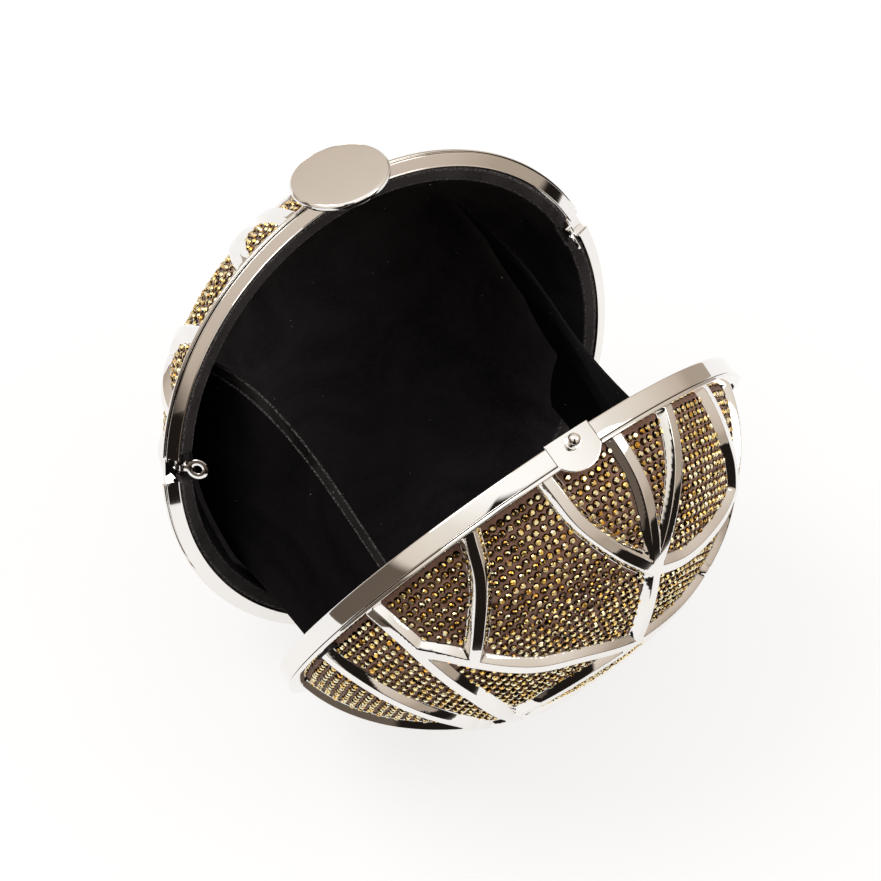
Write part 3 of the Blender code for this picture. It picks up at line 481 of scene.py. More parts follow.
def eased(corners, steps=4):
    """Round off the corners of a closed outline. Each corner is (x, y, radius)."""
    outline = []
    count = len(corners)
    for index, (x, y, radius) in enumerate(corners):
        here = Vector((x, y))
        if radius <= 0:
            outline.append((x, y))
            continue
        before = Vector(corners[index - 1][:2]) - here
        after = Vector(corners[(index + 1) % count][:2]) - here
        start = here + before.normalized() * min(radius, before.length * 0.49)
        end = here + after.normalized() * min(radius, after.length * 0.49)
        for step in range(steps + 1):
            t = step / steps
            point = start * (1 - t) ** 2 + here * 2 * t * (1 - t) + end * t * t
            outline.append((point.x, point.y))
    return outline


def turned(name, outline, sides, place=Matrix.Identity(4), closed=True):
    """Turn an outline of (radius, height) about Z."""
    points, rows, faces = [], [], []
    for radius, height in outline:
        if radius < 1e-7:
            rows.append([len(points)] * sides)
            points.append(place @ Vector((0, 0, height)))
            continue
        rows.append(list(range(len(points), len(points) + sides)))
        for step in range(sides):
            angle = 2 * math.pi * step / sides
            points.append(place @ Vector((radius * math.cos(angle), radius * math.sin(angle), height)))
    pairs = list(zip(rows, rows[1:]))
    if closed:
        pairs.append((rows[-1], rows[0]))
    for low, high in pairs:
        for step in range(sides):
            after = (step + 1) % sides
            corners = list(dict.fromkeys([low[step], low[after], high[after], high[step]]))
            if len(corners) > 2:
                faces.append(corners)
    return formed(name, points, faces)


def extruded(name, outline, low, high, place=Matrix.Identity(4)):
    """Raise an outline of (x, y) from one height to another."""
    count = len(outline)
    points = [place @ Vector((x, y, low)) for x, y in outline]
    points += [place @ Vector((x, y, high)) for x, y in outline]
    faces = [list(range(count)), list(range(count, 2 * count))]
    faces += [[step, (step + 1) % count, count + (step + 1) % count, count + step] for step in range(count)]
    return formed(name, points, faces)


def carve(mesh, tool, operation="DIFFERENCE"):
    """One exact Boolean between two meshes. Both are used up, and the result is returned."""
    host = bpy.data.objects.new("host", mesh)
    guest = bpy.data.objects.new("guest", tool)
    for item in (host, guest):
        bpy.context.scene.collection.objects.link(item)
    step = host.modifiers.new("carve", "BOOLEAN")
    step.operation = operation
    step.solver = "EXACT"
    step.object = guest
    result = bpy.data.meshes.new_from_object(host.evaluated_get(bpy.context.evaluated_depsgraph_get()))
    for item in (host, guest):
        bpy.data.objects.remove(item, do_unlink=True)
    return result


def joined(name, meshes):
    """One mesh that holds several, as they are."""
    form = bmesh.new()
    for mesh in meshes:
        form.from_mesh(mesh)
    result = bpy.data.meshes.new(name)
    form.to_mesh(result)
    form.free()
    return result


# Turns (radius, depth) outlines into a shell's frame: depth runs to -Y
RIM_AXIS = Matrix.Translation((0, 0, RIM_CENTRE)) @ Matrix.Rotation(math.pi / 2, 4, "X")


# The dome and its lattice


def dome_sizes(inset):
    """Radius and reach of a skin that lies this far inside the dome."""
    return DOME_RADIUS - inset, DOME_REACH - inset


def dome_skin(lean, bearing, inset=0.0):
    """Points and outward normals of a skin, from angles off the dome's top and around its axis."""
    across, along = dome_sizes(inset)
    side, up = np.sin(bearing), np.cos(bearing)
    radius = across * np.sin(lean)
    points = np.stack([radius * side, -DOME_CENTRE - along * np.cos(lean), RIM_CENTRE + radius * up], -1)
    rise = np.sin(lean) / across
    normals = np.stack([rise * side, -np.cos(lean) / along, rise * up], -1)
    return points, normals / np.linalg.norm(normals, axis=-1, keepdims=True)


def lean_at(distance, inset=0.0):
    """Angle off the top of a skin that lies this far from it along the skin, and the whole way to the rim."""
    across, along = dome_sizes(inset)
    lean = np.linspace(0, math.pi / 2, 1500)
    run = np.hypot(np.diff(across * np.sin(lean)), np.diff(along * np.cos(lean)))
    run = np.concatenate([[0], np.cumsum(run)])
    return np.interp(distance, run, lean), run[-1]


def onto_dome(points):
    """Points moved onto the dome, straight out from its centre."""
    across, along = dome_sizes(0)
    centre = np.array([0, -DOME_CENTRE, RIM_CENTRE])
    arm = points - centre
    scale = np.linalg.norm(arm / np.array([across, along, across]), axis=-1, keepdims=True)
    return centre + arm / scale


def bar_route(bar, half_turn, depth):
    """Closely stepped points of one bar's middle line, on the dome, from a depth at the rim."""
    across, along = dome_sizes(0)
    knots = []
    for knot in bar:
        if isinstance(knot, tuple):
            x, z = knot[0] * RIM_RADIUS, knot[1] * RIM_RADIUS
            knots.append((x, -DOME_CENTRE - along * math.sqrt(1 - (x * x + z * z) / across ** 2), z))
        else:
            radius = across * math.sqrt(1 - ((depth - DOME_CENTRE) / along) ** 2)
            angle = math.radians(knot)
            knots.append((radius * math.sin(angle), -depth, radius * math.cos(angle)))
    knots = np.array(knots)
    padded = np.vstack([2 * knots[0] - knots[1], knots, 2 * knots[-1] - knots[-2]])
    route = []
    for before, start, end, after in zip(padded, padded[1:], padded[2:], padded[3:]):
        steps = max(2, int(np.linalg.norm(end - start) / ROUTE_STEP))
        t = (np.arange(steps) / steps)[:, None]
        route.append((2 * start + (end - before) * t + (2 * before - 5 * start + 4 * end - after) * t ** 2
                      + (3 * start - before - 3 * end + after) * t ** 3) / 2)
    route = np.vstack(route + [knots[-1:]])
    if not isinstance(bar[0], tuple):
        lead = route[0] - route[1]
        lead /= np.linalg.norm(lead)
        route = np.vstack([route[0] + lead * reach for reach in (3 * MM, 2 * MM, 1 * MM)] + [route])
    if half_turn:
        route = route * np.array([-1, 1, -1])
    return onto_dome(route + np.array([0, 0, RIM_CENTRE]))


def all_routes(start):
    """Routes of a lattice's bars: the upper half, and the same turned half a turn."""
    depth = start + FLANGE_THICK / 2
    return [bar_route(bar, half_turn, depth) for half_turn in (False, True) for bar in BARS]


ROUTES = {side: all_routes(start) for side, start in FLANGE_STARTS.items()}


def bar_field(points, side):
    """Distance beyond the flat top of the nearest bars, rounded where bars meet, and its direction."""
    total = np.zeros(len(points))
    pull = np.zeros((len(points), 3))
    for route in ROUTES[side]:
        near = np.all((points > route.min(0) - BAR_REACH) & (points < route.max(0) + BAR_REACH), axis=1)
        index = np.nonzero(near)[0]
        if not len(index):
            continue
        gap = points[index][:, None, :] - route[None, :, :]
        squared = np.einsum("ijk,ijk->ij", gap, gap)
        nearest = squared.argmin(1)
        distance = np.sqrt(squared[np.arange(len(index)), nearest]) + 1e-9
        away = gap[np.arange(len(index)), nearest] / distance[:, None]
        weight = np.exp(-(distance - BAR_TOP / 2) / BAR_BLEND)
        total[index] += weight
        pull[index] += away * weight[:, None]
    total = np.maximum(total, 1e-30)
    pull /= np.maximum(np.linalg.norm(pull, axis=1, keepdims=True), 1e-12)
    return -BAR_BLEND * np.log(total), pull


def cut_along(data, faces, column, level):
    """Split a triangle mesh where one column of its data crosses a level."""
    side = np.sign(np.where(np.abs(data[:, column] - level) < 1e-9, 0, data[:, column] - level))
    corner = side[faces]
    crossing = corner * np.roll(corner, -1, axis=1) < 0
    count = crossing.sum(1)
    whole = faces[count == 0]
    pairs = faces[count == 2]
    shift = (np.argmin(crossing[count == 2], axis=1) + 2) % 3
    pairs = pairs[np.arange(len(pairs))[:, None], (shift[:, None] + np.arange(3)) % 3]
    single = faces[count == 1]
    shift = (np.argmax(crossing[count == 1], axis=1) + 2) % 3
    single = single[np.arange(len(single))[:, None], (shift[:, None] + np.arange(3)) % 3]
    edges = np.vstack([pairs[:, [0, 1]], pairs[:, [0, 2]], single[:, [1, 2]]])
    keys, place = np.unique(np.sort(edges, axis=1), axis=0, return_inverse=True)
    place = place.reshape(-1) + len(data)
    low, high = data[keys[:, 0]], data[keys[:, 1]]
    share = ((level - low[:, column]) / (high[:, column] - low[:, column]))[:, None]
    fresh = low + (high - low) * share
    fresh[:, column] = level
    first, second = place[:len(pairs)], place[len(pairs):2 * len(pairs)]
    third = place[2 * len(pairs):]
    parts = [whole]
    parts.append(np.stack([pairs[:, 0], first, second], 1))
    parts.append(np.stack([first, pairs[:, 1], pairs[:, 2]], 1))
    parts.append(np.stack([first, pairs[:, 2], second], 1))
    parts.append(np.stack([single[:, 0], single[:, 1], third], 1))
    parts.append(np.stack([single[:, 0], third, single[:, 2]], 1))
    return np.vstack([data, fresh]), np.vstack(parts)


def keep_faces(data, faces, keep):
    """Drop faces, and the points that none uses any more."""
    faces = faces[keep]
    used, faces = np.unique(faces, return_inverse=True)
    return data[used], faces.reshape(-1, 3)


# Columns of a cage's points: place, outward normal, way from the bars, distance from their tops, depth
PLACE, OUTWARD, AWAY = slice(0, 3), slice(3, 6), slice(6, 9)
DISTANCE, DEPTH = 9, 10


def triangle_grid(step, edge):
    """Even triangles over a flat square: how far across and up each point lies, and the faces."""
    rows = np.arange(-int(edge / (step * 0.866)), int(edge / (step * 0.866)) + 1)
    columns = np.arange(-int(edge / step), int(edge / step) + 1)
    row, column = np.meshgrid(rows, columns, indexing="ij")
    across = (column + 0.5 * (row % 2)) * step
    up = row * step * math.sqrt(3) / 2
    number = np.arange(row.size).reshape(row.shape)
    odd = (row[:-1, :-1] % 2).astype(bool)[..., None]
    a, b, c, d = number[:-1, :-1], number[:-1, 1:], number[1:, :-1], number[1:, 1:]
    first = np.where(odd, np.stack([a, b, d], -1), np.stack([a, b, c], -1))
    second = np.where(odd, np.stack([a, d, c], -1), np.stack([b, d, c], -1))
    return across.reshape(-1), up.reshape(-1), np.vstack([first.reshape(-1, 3), second.reshape(-1, 3)])


def lattice_form(side):
    """The cast bars as one skin: flat tops, rounded edges and sloping sides down to the cloth."""
    across, up, faces = triangle_grid(BAR_GRID, DOME_RADIUS * 1.5)
    run = np.hypot(across, up)
    lean, limit = lean_at(run)
    points, normals = dome_skin(lean, np.arctan2(across, up))
    faces = faces[(run[faces] < limit).all(1)]
    field, pull = bar_field(points, side)
    outer = BAR_SECTION[-1][0] * MM
    faces = faces[(field[faces] < outer + 2 * MM).any(1)]
    data = np.hstack([points, normals, pull, field[:, None], -points[:, 1:2]])
    data, faces = keep_faces(data, faces, slice(None))

    # Edges along each line of the section, and along the middle of the flange
    levels = [level * MM for level, _ in BAR_SECTION]
    for level in levels:
        near = np.abs(data[:, DISTANCE] - level) < BAR_SNAP
        data[near, PLACE] += data[near, AWAY] * (level - data[near, DISTANCE])[:, None]
        data[near, DISTANCE] = level
        data, faces = cut_along(data, faces, DISTANCE, level)
    start = FLANGE_STARTS[side] + FLANGE_THICK / 2
    data, faces = cut_along(data, faces, DEPTH, start)
    middle = data[faces].mean(1)
    data, faces = keep_faces(data, faces, (middle[:, DISTANCE] < outer) & (middle[:, DEPTH] > start))
    sunk = np.interp(data[:, DISTANCE], levels, [drop * MM for _, drop in BAR_SECTION])
    points = data[:, PLACE] - data[:, OUTWARD] * sunk[:, None]

    # A skirt from the foot of each slope down through the cloth
    edges = np.vstack([faces[:, [0, 1]], faces[:, [1, 2]], faces[:, [2, 0]]])
    keys, counts = np.unique(np.sort(edges, axis=1), axis=0, return_counts=True)
    border = keys[counts == 1]
    border = border[(np.abs(data[border, DISTANCE] - outer) < 1e-7).all(1)]
    rim, place = np.unique(border, return_inverse=True)
    place = place.reshape(-1, 2) + len(points)
    feet = data[rim, PLACE] - data[rim, OUTWARD] * BAR_FOOT
    skirt = np.hstack([border, place[:, ::-1]])
    return formed("lattice", np.vstack([points, feet]).tolist(), faces.tolist() + skirt.tolist())


def flange_form(start):
    """Flat ring that carries the bars, from a depth behind the rim."""
    end = start + FLANGE_THICK
    outline = eased([(FLANGE_INNER, start, 0), (FLANGE_OUTER, start, 0.25 * MM),
                     (FLANGE_OUTER, end, 0.3 * MM), (FLANGE_INNER, end, 0)])
    return turned("flange", outline, RIM_SIDES, RIM_AXIS)


def build_lattices(finish):
    """The two cast cages, each with room in its flange for what sits there."""
    bars = clear_of_loops(lattice_form("back"))
    flange = carve(flange_form(FLANGE_STARTS["back"]), leaf_room())
    for hand in (-1, 1):
        flange = carve(flange, saddle_room(hand))
    cage = joined("back_cage", [bars, flange])
    dress("back_cage", cage, BACK_SKIN, "back_shell", finish, ["back_lattice"], sharp=32)

    bars = lattice_form("front")
    flange = carve(flange_form(FLANGE_STARTS["front"]), catch_window())
    cage = joined("front_cage", [bars, flange])
    dress("front_cage", cage, FRONT_SHELL, "front_shell", finish, ["front_lattice"], sharp=32)


# Crystals and the net under them


# Rings of a stone in shares of its radius: how wide, and how high over the net
STONE_SIDES = 8
STONE_RINGS = [(0.50, 0.74), (0.84, 0.42), (0.98, 0.22), (1.15, -0.02)]
# Faces of the cup around a stone's foot, which are painted dark as shade
STONE_CUP_FACES_PAINTED_SHADE = [index for step in range(STONE_SIDES) for index in (3 + 4 * step, 4 + 4 * step)]


def crystal_form():
    """One stone: table, crown, girdle, and a cup around its foot that sinks into the net; the cup is painted
    dark as shade.
    """
    sides = STONE_SIDES
    points, faces = [], []
    for ring, (radius, height) in enumerate(STONE_RINGS):
        for step in range(sides):
            angle = 2 * math.pi * (step + 0.5 * (ring == 0)) / sides
            points.append((radius * math.cos(angle), radius * math.sin(angle), height))
    faces.append(list(range(sides)))
    for step in range(sides):
        after = (step + 1) % sides
        faces.append([step, sides + step, sides + after])
        faces.append([step, sides + after, after])
        for ring in (1, 2):
            low, high = ring * sides, (ring + 1) * sides
            faces.append([low + step, high + step, high + after, low + after])
    return np.array(points), faces


def crystal_spots(random, side):
    """Centres and normals of the stones, in rows along the rim and clear of the bars."""
    across, along = dome_sizes(CLOTH_INSET)
    first = FLANGE_STARTS[side] + FLANGE_THICK + FIRST_ROW_GAP
    limit_lean = math.acos((first - DOME_CENTRE) / along)
    table = np.linspace(0, lean_at(0.0, CLOTH_INSET)[1], 1200)
    edge = np.interp(limit_lean, lean_at(table, CLOTH_INSET)[0], table)
    centres, normals = [], []
    for row in range(int(edge / ROW_PITCH)):
        distance = edge - (row + 0.35) * ROW_PITCH
        around = 2 * math.pi * across * math.sin(lean_at(distance, CLOTH_INSET)[0])
        count = max(1, round(around / CRYSTAL_PITCH))
        bearing = 2 * math.pi * (np.arange(count) + random.random()) / count
        stray = random.normal(0, BEARING_STRAY, count) * CRYSTAL_PITCH
        bearing = bearing + stray / max(around / (2 * math.pi), CRYSTAL_PITCH)
        spread = lean_at(distance + random.normal(0, ROW_STRAY, count), CLOTH_INSET)[0]
        point, normal = dome_skin(spread, bearing, CLOTH_INSET)
        centres.append(point)
        normals.append(normal)
    centres, normals = np.vstack(centres), np.vstack(normals)
    field, _ = bar_field(onto_dome(centres), side)
    clear = field > (BAR_SECTION[-1][0] - 0.35) * MM
    return centres[clear], normals[clear]


def facet_tones_with_painted_light(random, count, facets):
    """Tone of each facet of each stone: the stone's own, with a painted glint or a painted shadow, a painted
    highlight on the table, and the cup painted dark as shade.
    """
    stone = random.uniform(0.52, 0.96, (count, 1))
    # Painted light on each facet: a painted shadow (below 0) or a painted glint (above 0)
    facet = random.choice([-0.62, -0.14, 0.04, 0.30], (count, facets), p=[0.26, 0.20, 0.26, 0.28])
    tone = stone + facet + random.normal(0, 0.07, facet.shape)
    # The table facet is lighter: a painted highlight
    tone[:, 0] = stone[:, 0] + random.normal(0.20, 0.16, count)
    # The cup is painted near black: painted shade around the stone's foot
    tone[:, STONE_CUP_FACES_PAINTED_SHADE] = random.uniform(0.0, 0.16, (count, len(STONE_CUP_FACES_PAINTED_SHADE)))
    return np.clip(tone, 0, 1).astype(np.float32).reshape(-1)


def build_crystals(side, place, finish, seed):
    """All stones of one shell as one piece, each a little turned, tilted and sized."""
    random = np.random.default_rng(seed)
    centres, normals = crystal_spots(random, side)
    if side == "front":
        lobe = np.hypot(centres[:, 0], -centres[:, 1] - CATCH_DEPTH) < CATCH_LOBE - 0.2 * MM
        keep = ~(lobe & (centres[:, 2] > RIM_CENTRE))
        centres, normals = centres[keep], normals[keep]
    count = len(centres)
    form, shapes = crystal_form()
    lean = random.normal(0, STONE_LEAN, (count, 3))
    up = normals + lean - normals * np.sum(lean * normals, 1, keepdims=True)
    up /= np.linalg.norm(up, axis=1, keepdims=True)
    spin = random.normal(size=(count, 3))
    right = np.cross(up, spin)
    right /= np.linalg.norm(right, axis=1, keepdims=True)
    ahead = np.cross(up, right)
    size = CRYSTAL_RADIUS * random.uniform(0.94, 1.05, count)
    x, y, z = form[None, :, 0:1], form[None, :, 1:2], form[None, :, 2:3]
    offsets = x * right[:, None, :] + y * ahead[:, None, :] + z * up[:, None, :]
    points = centres[:, None, :] + size[:, None, None] * offsets
    faces = []
    for index in range(count):
        start = index * len(form)
        faces += [[start + corner for corner in shape] for shape in shapes]
    piece = make_piece(side + "_crystals", points.reshape(-1, 3), faces, place, side + "_shell",
                       finish, smooth=False)
    # The tone on each facet carries painted glints and painted shade
    layer = piece.data.attributes.new("tone", "FLOAT", "FACE")
    layer.data.foreach_set("value", facet_tones_with_painted_light(random, count, len(shapes)))


def skin_form(inset, start_depth, rings, sides):
    """Single smooth skin of the dome from a depth at the rim to its top."""
    along = dome_sizes(inset)[1]
    edge = math.acos((start_depth - DOME_CENTRE) / along)
    lean = edge * (1 - np.linspace(0, 1, rings + 1)[:-1])
    bearing = 2 * math.pi * np.arange(sides) / sides
    grid_lean, grid_bearing = np.meshgrid(lean, bearing, indexing="ij")
    points, _ = dome_skin(grid_lean, grid_bearing, inset)
    points = points.reshape(-1, 3)
    top = len(points)
    points = np.vstack([points, dome_skin(np.array(0.0), np.array(0.0), inset)[0]])
    faces = []
    for low in range(0, (rings - 1) * sides, sides):
        for step in range(sides):
            after = (step + 1) % sides
            faces.append([low + step, low + after, low + sides + after, low + sides + step])
    last = (rings - 1) * sides
    faces += [[last + step, last + (step + 1) % sides, top] for step in range(sides)]
    return points, faces


def build_skins(net, pile):
    """The nets under the stones, the velvet linings, and each lining's turned hem."""
    for side, place in (("back", BACK_SKIN), ("front", FRONT_SHELL)):
        body = side + "_shell"
        points, faces = skin_form(CLOTH_INSET, FLANGE_STARTS[side], 40, 160)
        piece = make_piece(side + "_net", points, faces, place, body, net,
                           [side + "_crystal_cloth"], sharp=60)

        depth, edge = HEM_DEPTHS[side], HEM_EDGES[side]
        points, faces = skin_form(LINING_INSET, depth + 0.6 * MM, 36, 320)
        points = dented(points, EYELET_DENT[side], LINING_DENT_FADE)
        faces = [face[::-1] for face in faces]
        piece = make_piece(side + "_velvet", points, faces, place, body, pile,
                           [side + "_lining"], sharp=60)

        outline = eased([(HEM_INNER, depth + 1.1 * MM, 0.5 * MM), (HEM_INNER + 0.2 * MM, depth, 0.9 * MM),
                         (edge, depth - 0.1 * MM, 0.6 * MM), (edge, depth + MM, 0.2 * MM)])
        hem = turned(side + "_hem", outline, 400, RIM_AXIS)
        dent_mesh(hem, EYELET_DENT[side], HEM_DENT_FADE)
        hem = dress(side + "_hem", hem, place, body, pile, sharp=60)
        centre = Vector((0, 0, RIM_CENTRE))
        corners = np.array([(place.inverted() @ corner.co) - centre for corner in hem.data.vertices])
        mark_hem(hem, 1 - (edge - np.hypot(corners[:, 0], corners[:, 2])) / HEM_FADE)


def mark_hem(piece, share):
    """Tell the velvet how near each point lies to its hemmed edge: 1 on the edge, 0 away from it."""
    layer = piece.data.attributes.new("hem", "FLOAT", "POINT")
    layer.data.foreach_set("value", np.clip(share, 0, 1).astype(np.float32))


def beside_eyelet(x, up):
    """Distance along the rim to the nearest eyelet, from a place across and above the rim's centre."""
    return RIM_RADIUS * np.abs(np.abs(np.arctan2(x, up)) - LOOP_ANGLE)


def dented(points, drop, fade):
    """Sink a lining where the eyelets lie, by a drop that fades out as the lining goes deeper."""
    beside = beside_eyelet(points[:, 0], points[:, 2] - RIM_CENTRE)
    share = np.clip((DENT_HALF + DENT_SLOPE - beside) / DENT_SLOPE, 0, 1)
    share = share * share * (3 - 2 * share) * np.clip(1 + points[:, 1] / fade, 0, 1)
    points[:, 1] -= share * drop
    return points


def dent_mesh(mesh, drop, fade):
    """Sink a mesh as a lining is sunk."""
    points = np.array([corner.co for corner in mesh.vertices])
    mesh.vertices.foreach_set("co", dented(points, drop, fade).astype(np.float32).reshape(-1))


def clear_of_loops(mesh):
    """Take away what little of the bars' ends lies in the eyelets' way."""
    form = bmesh.new()
    form.from_mesh(mesh)
    doomed = []
    for face in form.faces:
        spot = face.calc_center_median()
        beside = beside_eyelet(spot.x, spot.z - RIM_CENTRE)
        if beside < BARS_CLEAR_HALF and -spot.y < BARS_CLEAR_DEPTH:
            doomed.append(face)
    bmesh.ops.delete(form, geom=doomed, context="FACES")
    form.to_mesh(mesh)
    form.free()
    return mesh


# Bands


# Room cut for the hinge, its leaf, and each eyelet with its saddle, and how far past a rim such a cut goes
HINGE_ROOM_HALF = 12.3 * MM
HINGE_ROOM_RADIUS = 1.9 * MM
LEAF_ROOM_DEPTH = 5.5 * MM
LEAF_ROOM_TOP = 1.1 * MM
ROOM_FLOOR = -2 * MM
NOTCH_HALF = 3.45 * MM
NOTCH_BACK = 0.9 * MM
NOTCH_FLOOR = 1.2 * MM
SADDLE_HALF = 4.25 * MM
SADDLE_ROOM_HALF = 4.55 * MM
CUT_AHEAD = -6 * MM
CUT_OUT = 8 * MM


def hinge_room():
    """Space for the hinge under a rim."""
    outline = oblong(HINGE_ROOM_HALF, -HINGE_ROOM_RADIUS, HINGE_ROOM_RADIUS)
    return extruded("room", outline, ROOM_FLOOR, HINGE_ROOM_RADIUS)


def leaf_room():
    """Space for the hinge's leaf behind the back rim."""
    return extruded("room", oblong(HINGE_ROOM_HALF, -LEAF_ROOM_DEPTH, 0), ROOM_FLOOR, LEAF_ROOM_TOP)


CATCH_HALF = 6.8 * MM
CATCH_LOBE = 7.7 * MM
CATCH_DEPTH = 2.5 * MM
CATCH_THICK = 0.8 * MM
CATCH_FRONT = 0.4 * MM
CATCH_EDGE = 0.16 * MM
CATCH_PROUD = 0.02 * MM
COLLAR_RADIUS = 2.15 * MM
BALL_RADIUS = 1.78 * MM
BALL_RISE = 2.2 * MM


def catch_window(margin=0.12 * MM):
    """Space for the catch plate in the front band and flange."""
    radius, half = CATCH_LOBE + margin, CATCH_HALF + margin
    reach = math.asin(half / radius)
    outline = [(-half, 3 * MM), (half, 3 * MM)]
    for step in range(25):
        angle = -math.pi / 2 + reach - 2 * reach * step / 24
        outline.append((radius * math.cos(angle), -CATCH_DEPTH + radius * math.sin(angle)))
    window = extruded("window", outline, RIM_CENTRE, RIM_CENTRE + RIM_RADIUS + 5 * MM)
    inner = RIM_RADIUS - CATCH_THICK
    outer, front, back = inner + 8 * MM, -4 * MM, 14 * MM
    tube = turned("tube", [(inner, front), (outer, front), (outer, back), (inner, back)], RIM_SIDES, RIM_AXIS)
    return carve(tube, window, "INTERSECT")


def loop_place(side):
    """Frame on an eyelet's pin: X along the rim, Y into the back shell, Z out from the rim's centre."""
    turn = Matrix.Rotation(side * LOOP_ANGLE, 4, "Y")
    to_pin = Matrix.Translation((0, LOOP_PIN_DEPTH, RIM_RADIUS - LOOP_PIN_INSET))
    return Matrix.Translation((0, 0, RIM_CENTRE)) @ turn @ to_pin


def notch(side):
    """Opening in the back ring that an eyelet leans through."""
    outline = oblong(NOTCH_HALF, CUT_AHEAD, NOTCH_BACK)
    return extruded("notch", outline, NOTCH_FLOOR, CUT_OUT, loop_place(side))


def saddle(side):
    """Box behind the ring that a notch is sunk into."""
    outline = eased([(-SADDLE_HALF, -0.85 * MM, 0), (SADDLE_HALF, -0.85 * MM, 0),
                     (SADDLE_HALF, 2 * MM, 0.3 * MM), (-SADDLE_HALF, 2 * MM, 0.3 * MM)])
    return carve(extruded("saddle", outline, 1.5 * MM, 4.5 * MM, loop_place(side)), notch(side))


def saddle_room(side):
    """Space for a saddle in the back flange."""
    outline = oblong(SADDLE_ROOM_HALF, CUT_AHEAD, 2.3 * MM)
    return extruded("room", outline, 0.5 * MM, CUT_OUT, loop_place(side))


def build_bands(finish):
    """The wide front band, and the thin back ring with its bead and saddles."""
    outline = eased([(BAND_INNER, SEAM, 0.15 * MM), (RIM_RADIUS, SEAM, 0.75 * MM),
                     (RIM_RADIUS, BAND_DEPTH, 0.35 * MM), (BAND_INNER, BAND_DEPTH, 0.1 * MM)])
    band = turned("front_band", outline, RIM_SIDES, RIM_AXIS)
    band = carve(carve(band, hinge_room()), catch_window())
    dress("front_band", band, FRONT_SHELL, "front_shell", finish, ["front_frame"], sharp=30)

    outline = eased([(RING_INNER, RING_DEPTH, 0.1 * MM), (RING_INNER, BEAD_TOP, 0.15 * MM),
                     (BEAD_OUTER - 0.1 * MM, BEAD_TOP, 0.15 * MM), (BEAD_OUTER, SEAM, 0.08 * MM),
                     (RIM_RADIUS, SEAM + RING_FALL, 0.12 * MM), (RIM_RADIUS, RING_DEPTH, 0.15 * MM)])
    ring = turned("back_ring", outline, RIM_SIDES, RIM_AXIS)
    ring.transform(Matrix.Rotation(math.pi, 4, "Z"))
    ring = carve(ring, hinge_room())
    for side in (-1, 1):
        ring = carve(ring, notch(side))
    ring = joined("back_ring", [ring, saddle(-1), saddle(1)])
    dress("back_ring", ring, BACK_SHELL, "back_shell", finish, ["back_frame"], sharp=30)


# Catch, clasp and eyelets


def catch_plate_form():
    """Plate bent to the rim, with a round lower end and rounded edges."""
    columns, rows = 40, 24
    points = []
    for sunk in (0.0, CATCH_THICK):
        for column in range(columns + 1):
            x = -CATCH_HALF * math.cos(math.pi * column / columns)
            far = CATCH_DEPTH + math.sqrt(CATCH_LOBE ** 2 - x * x)
            for row in range(rows + 1):
                t = (1 - math.cos(math.pi * row / rows)) / 2
                depth = -CATCH_FRONT + (far + CATCH_FRONT) * t
                inside = min(CATCH_HALF - abs(x), depth + CATCH_FRONT)
                if depth > CATCH_DEPTH:
                    inside = min(inside, CATCH_LOBE - math.hypot(x, depth - CATCH_DEPTH))
                short = max(CATCH_EDGE - inside, 0)
                drop = CATCH_EDGE - math.sqrt(max(CATCH_EDGE ** 2 - short ** 2, 0))
                radius = RIM_RADIUS + CATCH_PROUD - max(drop, sunk)
                points.append((x, -depth, RIM_CENTRE + math.sqrt(radius ** 2 - x * x)))
    width = rows + 1
    layer = (columns + 1) * width
    faces = []
    for front in grid_faces(columns, rows):
        faces += [front, [layer + corner for corner in reversed(front)]]
    border = list(range(width))
    border += [column * width + rows for column in range(1, columns + 1)]
    border += [columns * width + row for row in range(rows - 1, -1, -1)]
    border += [column * width for column in range(columns - 1, 0, -1)]
    for here, after in zip(border, border[1:] + border[:1]):
        faces.append([here, after, layer + after, layer + here])
    return formed("catch_tongue", points, faces)


def build_catch(finish):
    """Round-ended plate let into the front band, with the ball on its collar."""
    plate = catch_plate_form()
    dress("catch_tongue", plate, FRONT_SHELL, "front_shell", finish, ["catch_plate"], sharp=40)

    outline = eased([(0, 0.1 * MM, 0), (COLLAR_RADIUS, 0.1 * MM, 0), (COLLAR_RADIUS, 0.42 * MM, 0.16 * MM),
                     (1.5 * MM, 0.55 * MM, 0.2 * MM), (0.85 * MM, 0.72 * MM, 0.2 * MM)])
    for step in range(17):
        angle = math.radians(-58 + 148 * step / 16)
        outline.append((BALL_RADIUS * math.cos(angle), BALL_RISE + BALL_RADIUS * math.sin(angle)))
    ball = turned("catch_ball", outline, 48, Matrix.Translation((0, -CATCH_DEPTH, RIM_CENTRE + RIM_RADIUS)))
    dress("catch_ball", ball, FRONT_SHELL, "front_shell", finish, ["catch_knob"], sharp=40)


# Clasp disc, and the ears under it that turn on the neck's pin
DISC_RADIUS = 13.75 * MM
DISC_THICK = 2.1 * MM
DISC_RISE = 4.35 * MM
DISC_BEVEL = 0.6 * MM
DISC_AHEAD = -1.8 * MM
EAR_START = 2.5 * MM
EAR_SIZE = 1.0 * MM
PIVOT_DEPTH = 3.3 * MM
PIVOT_RISE = 2.8 * MM


def barrel_outline(radius, low, high):
    """Half outline of a short round bar with eased ends."""
    return [(0, low)] + eased([(radius, low, 0.15 * MM), (radius, high, 0.15 * MM)], 3) + [(0, high)]


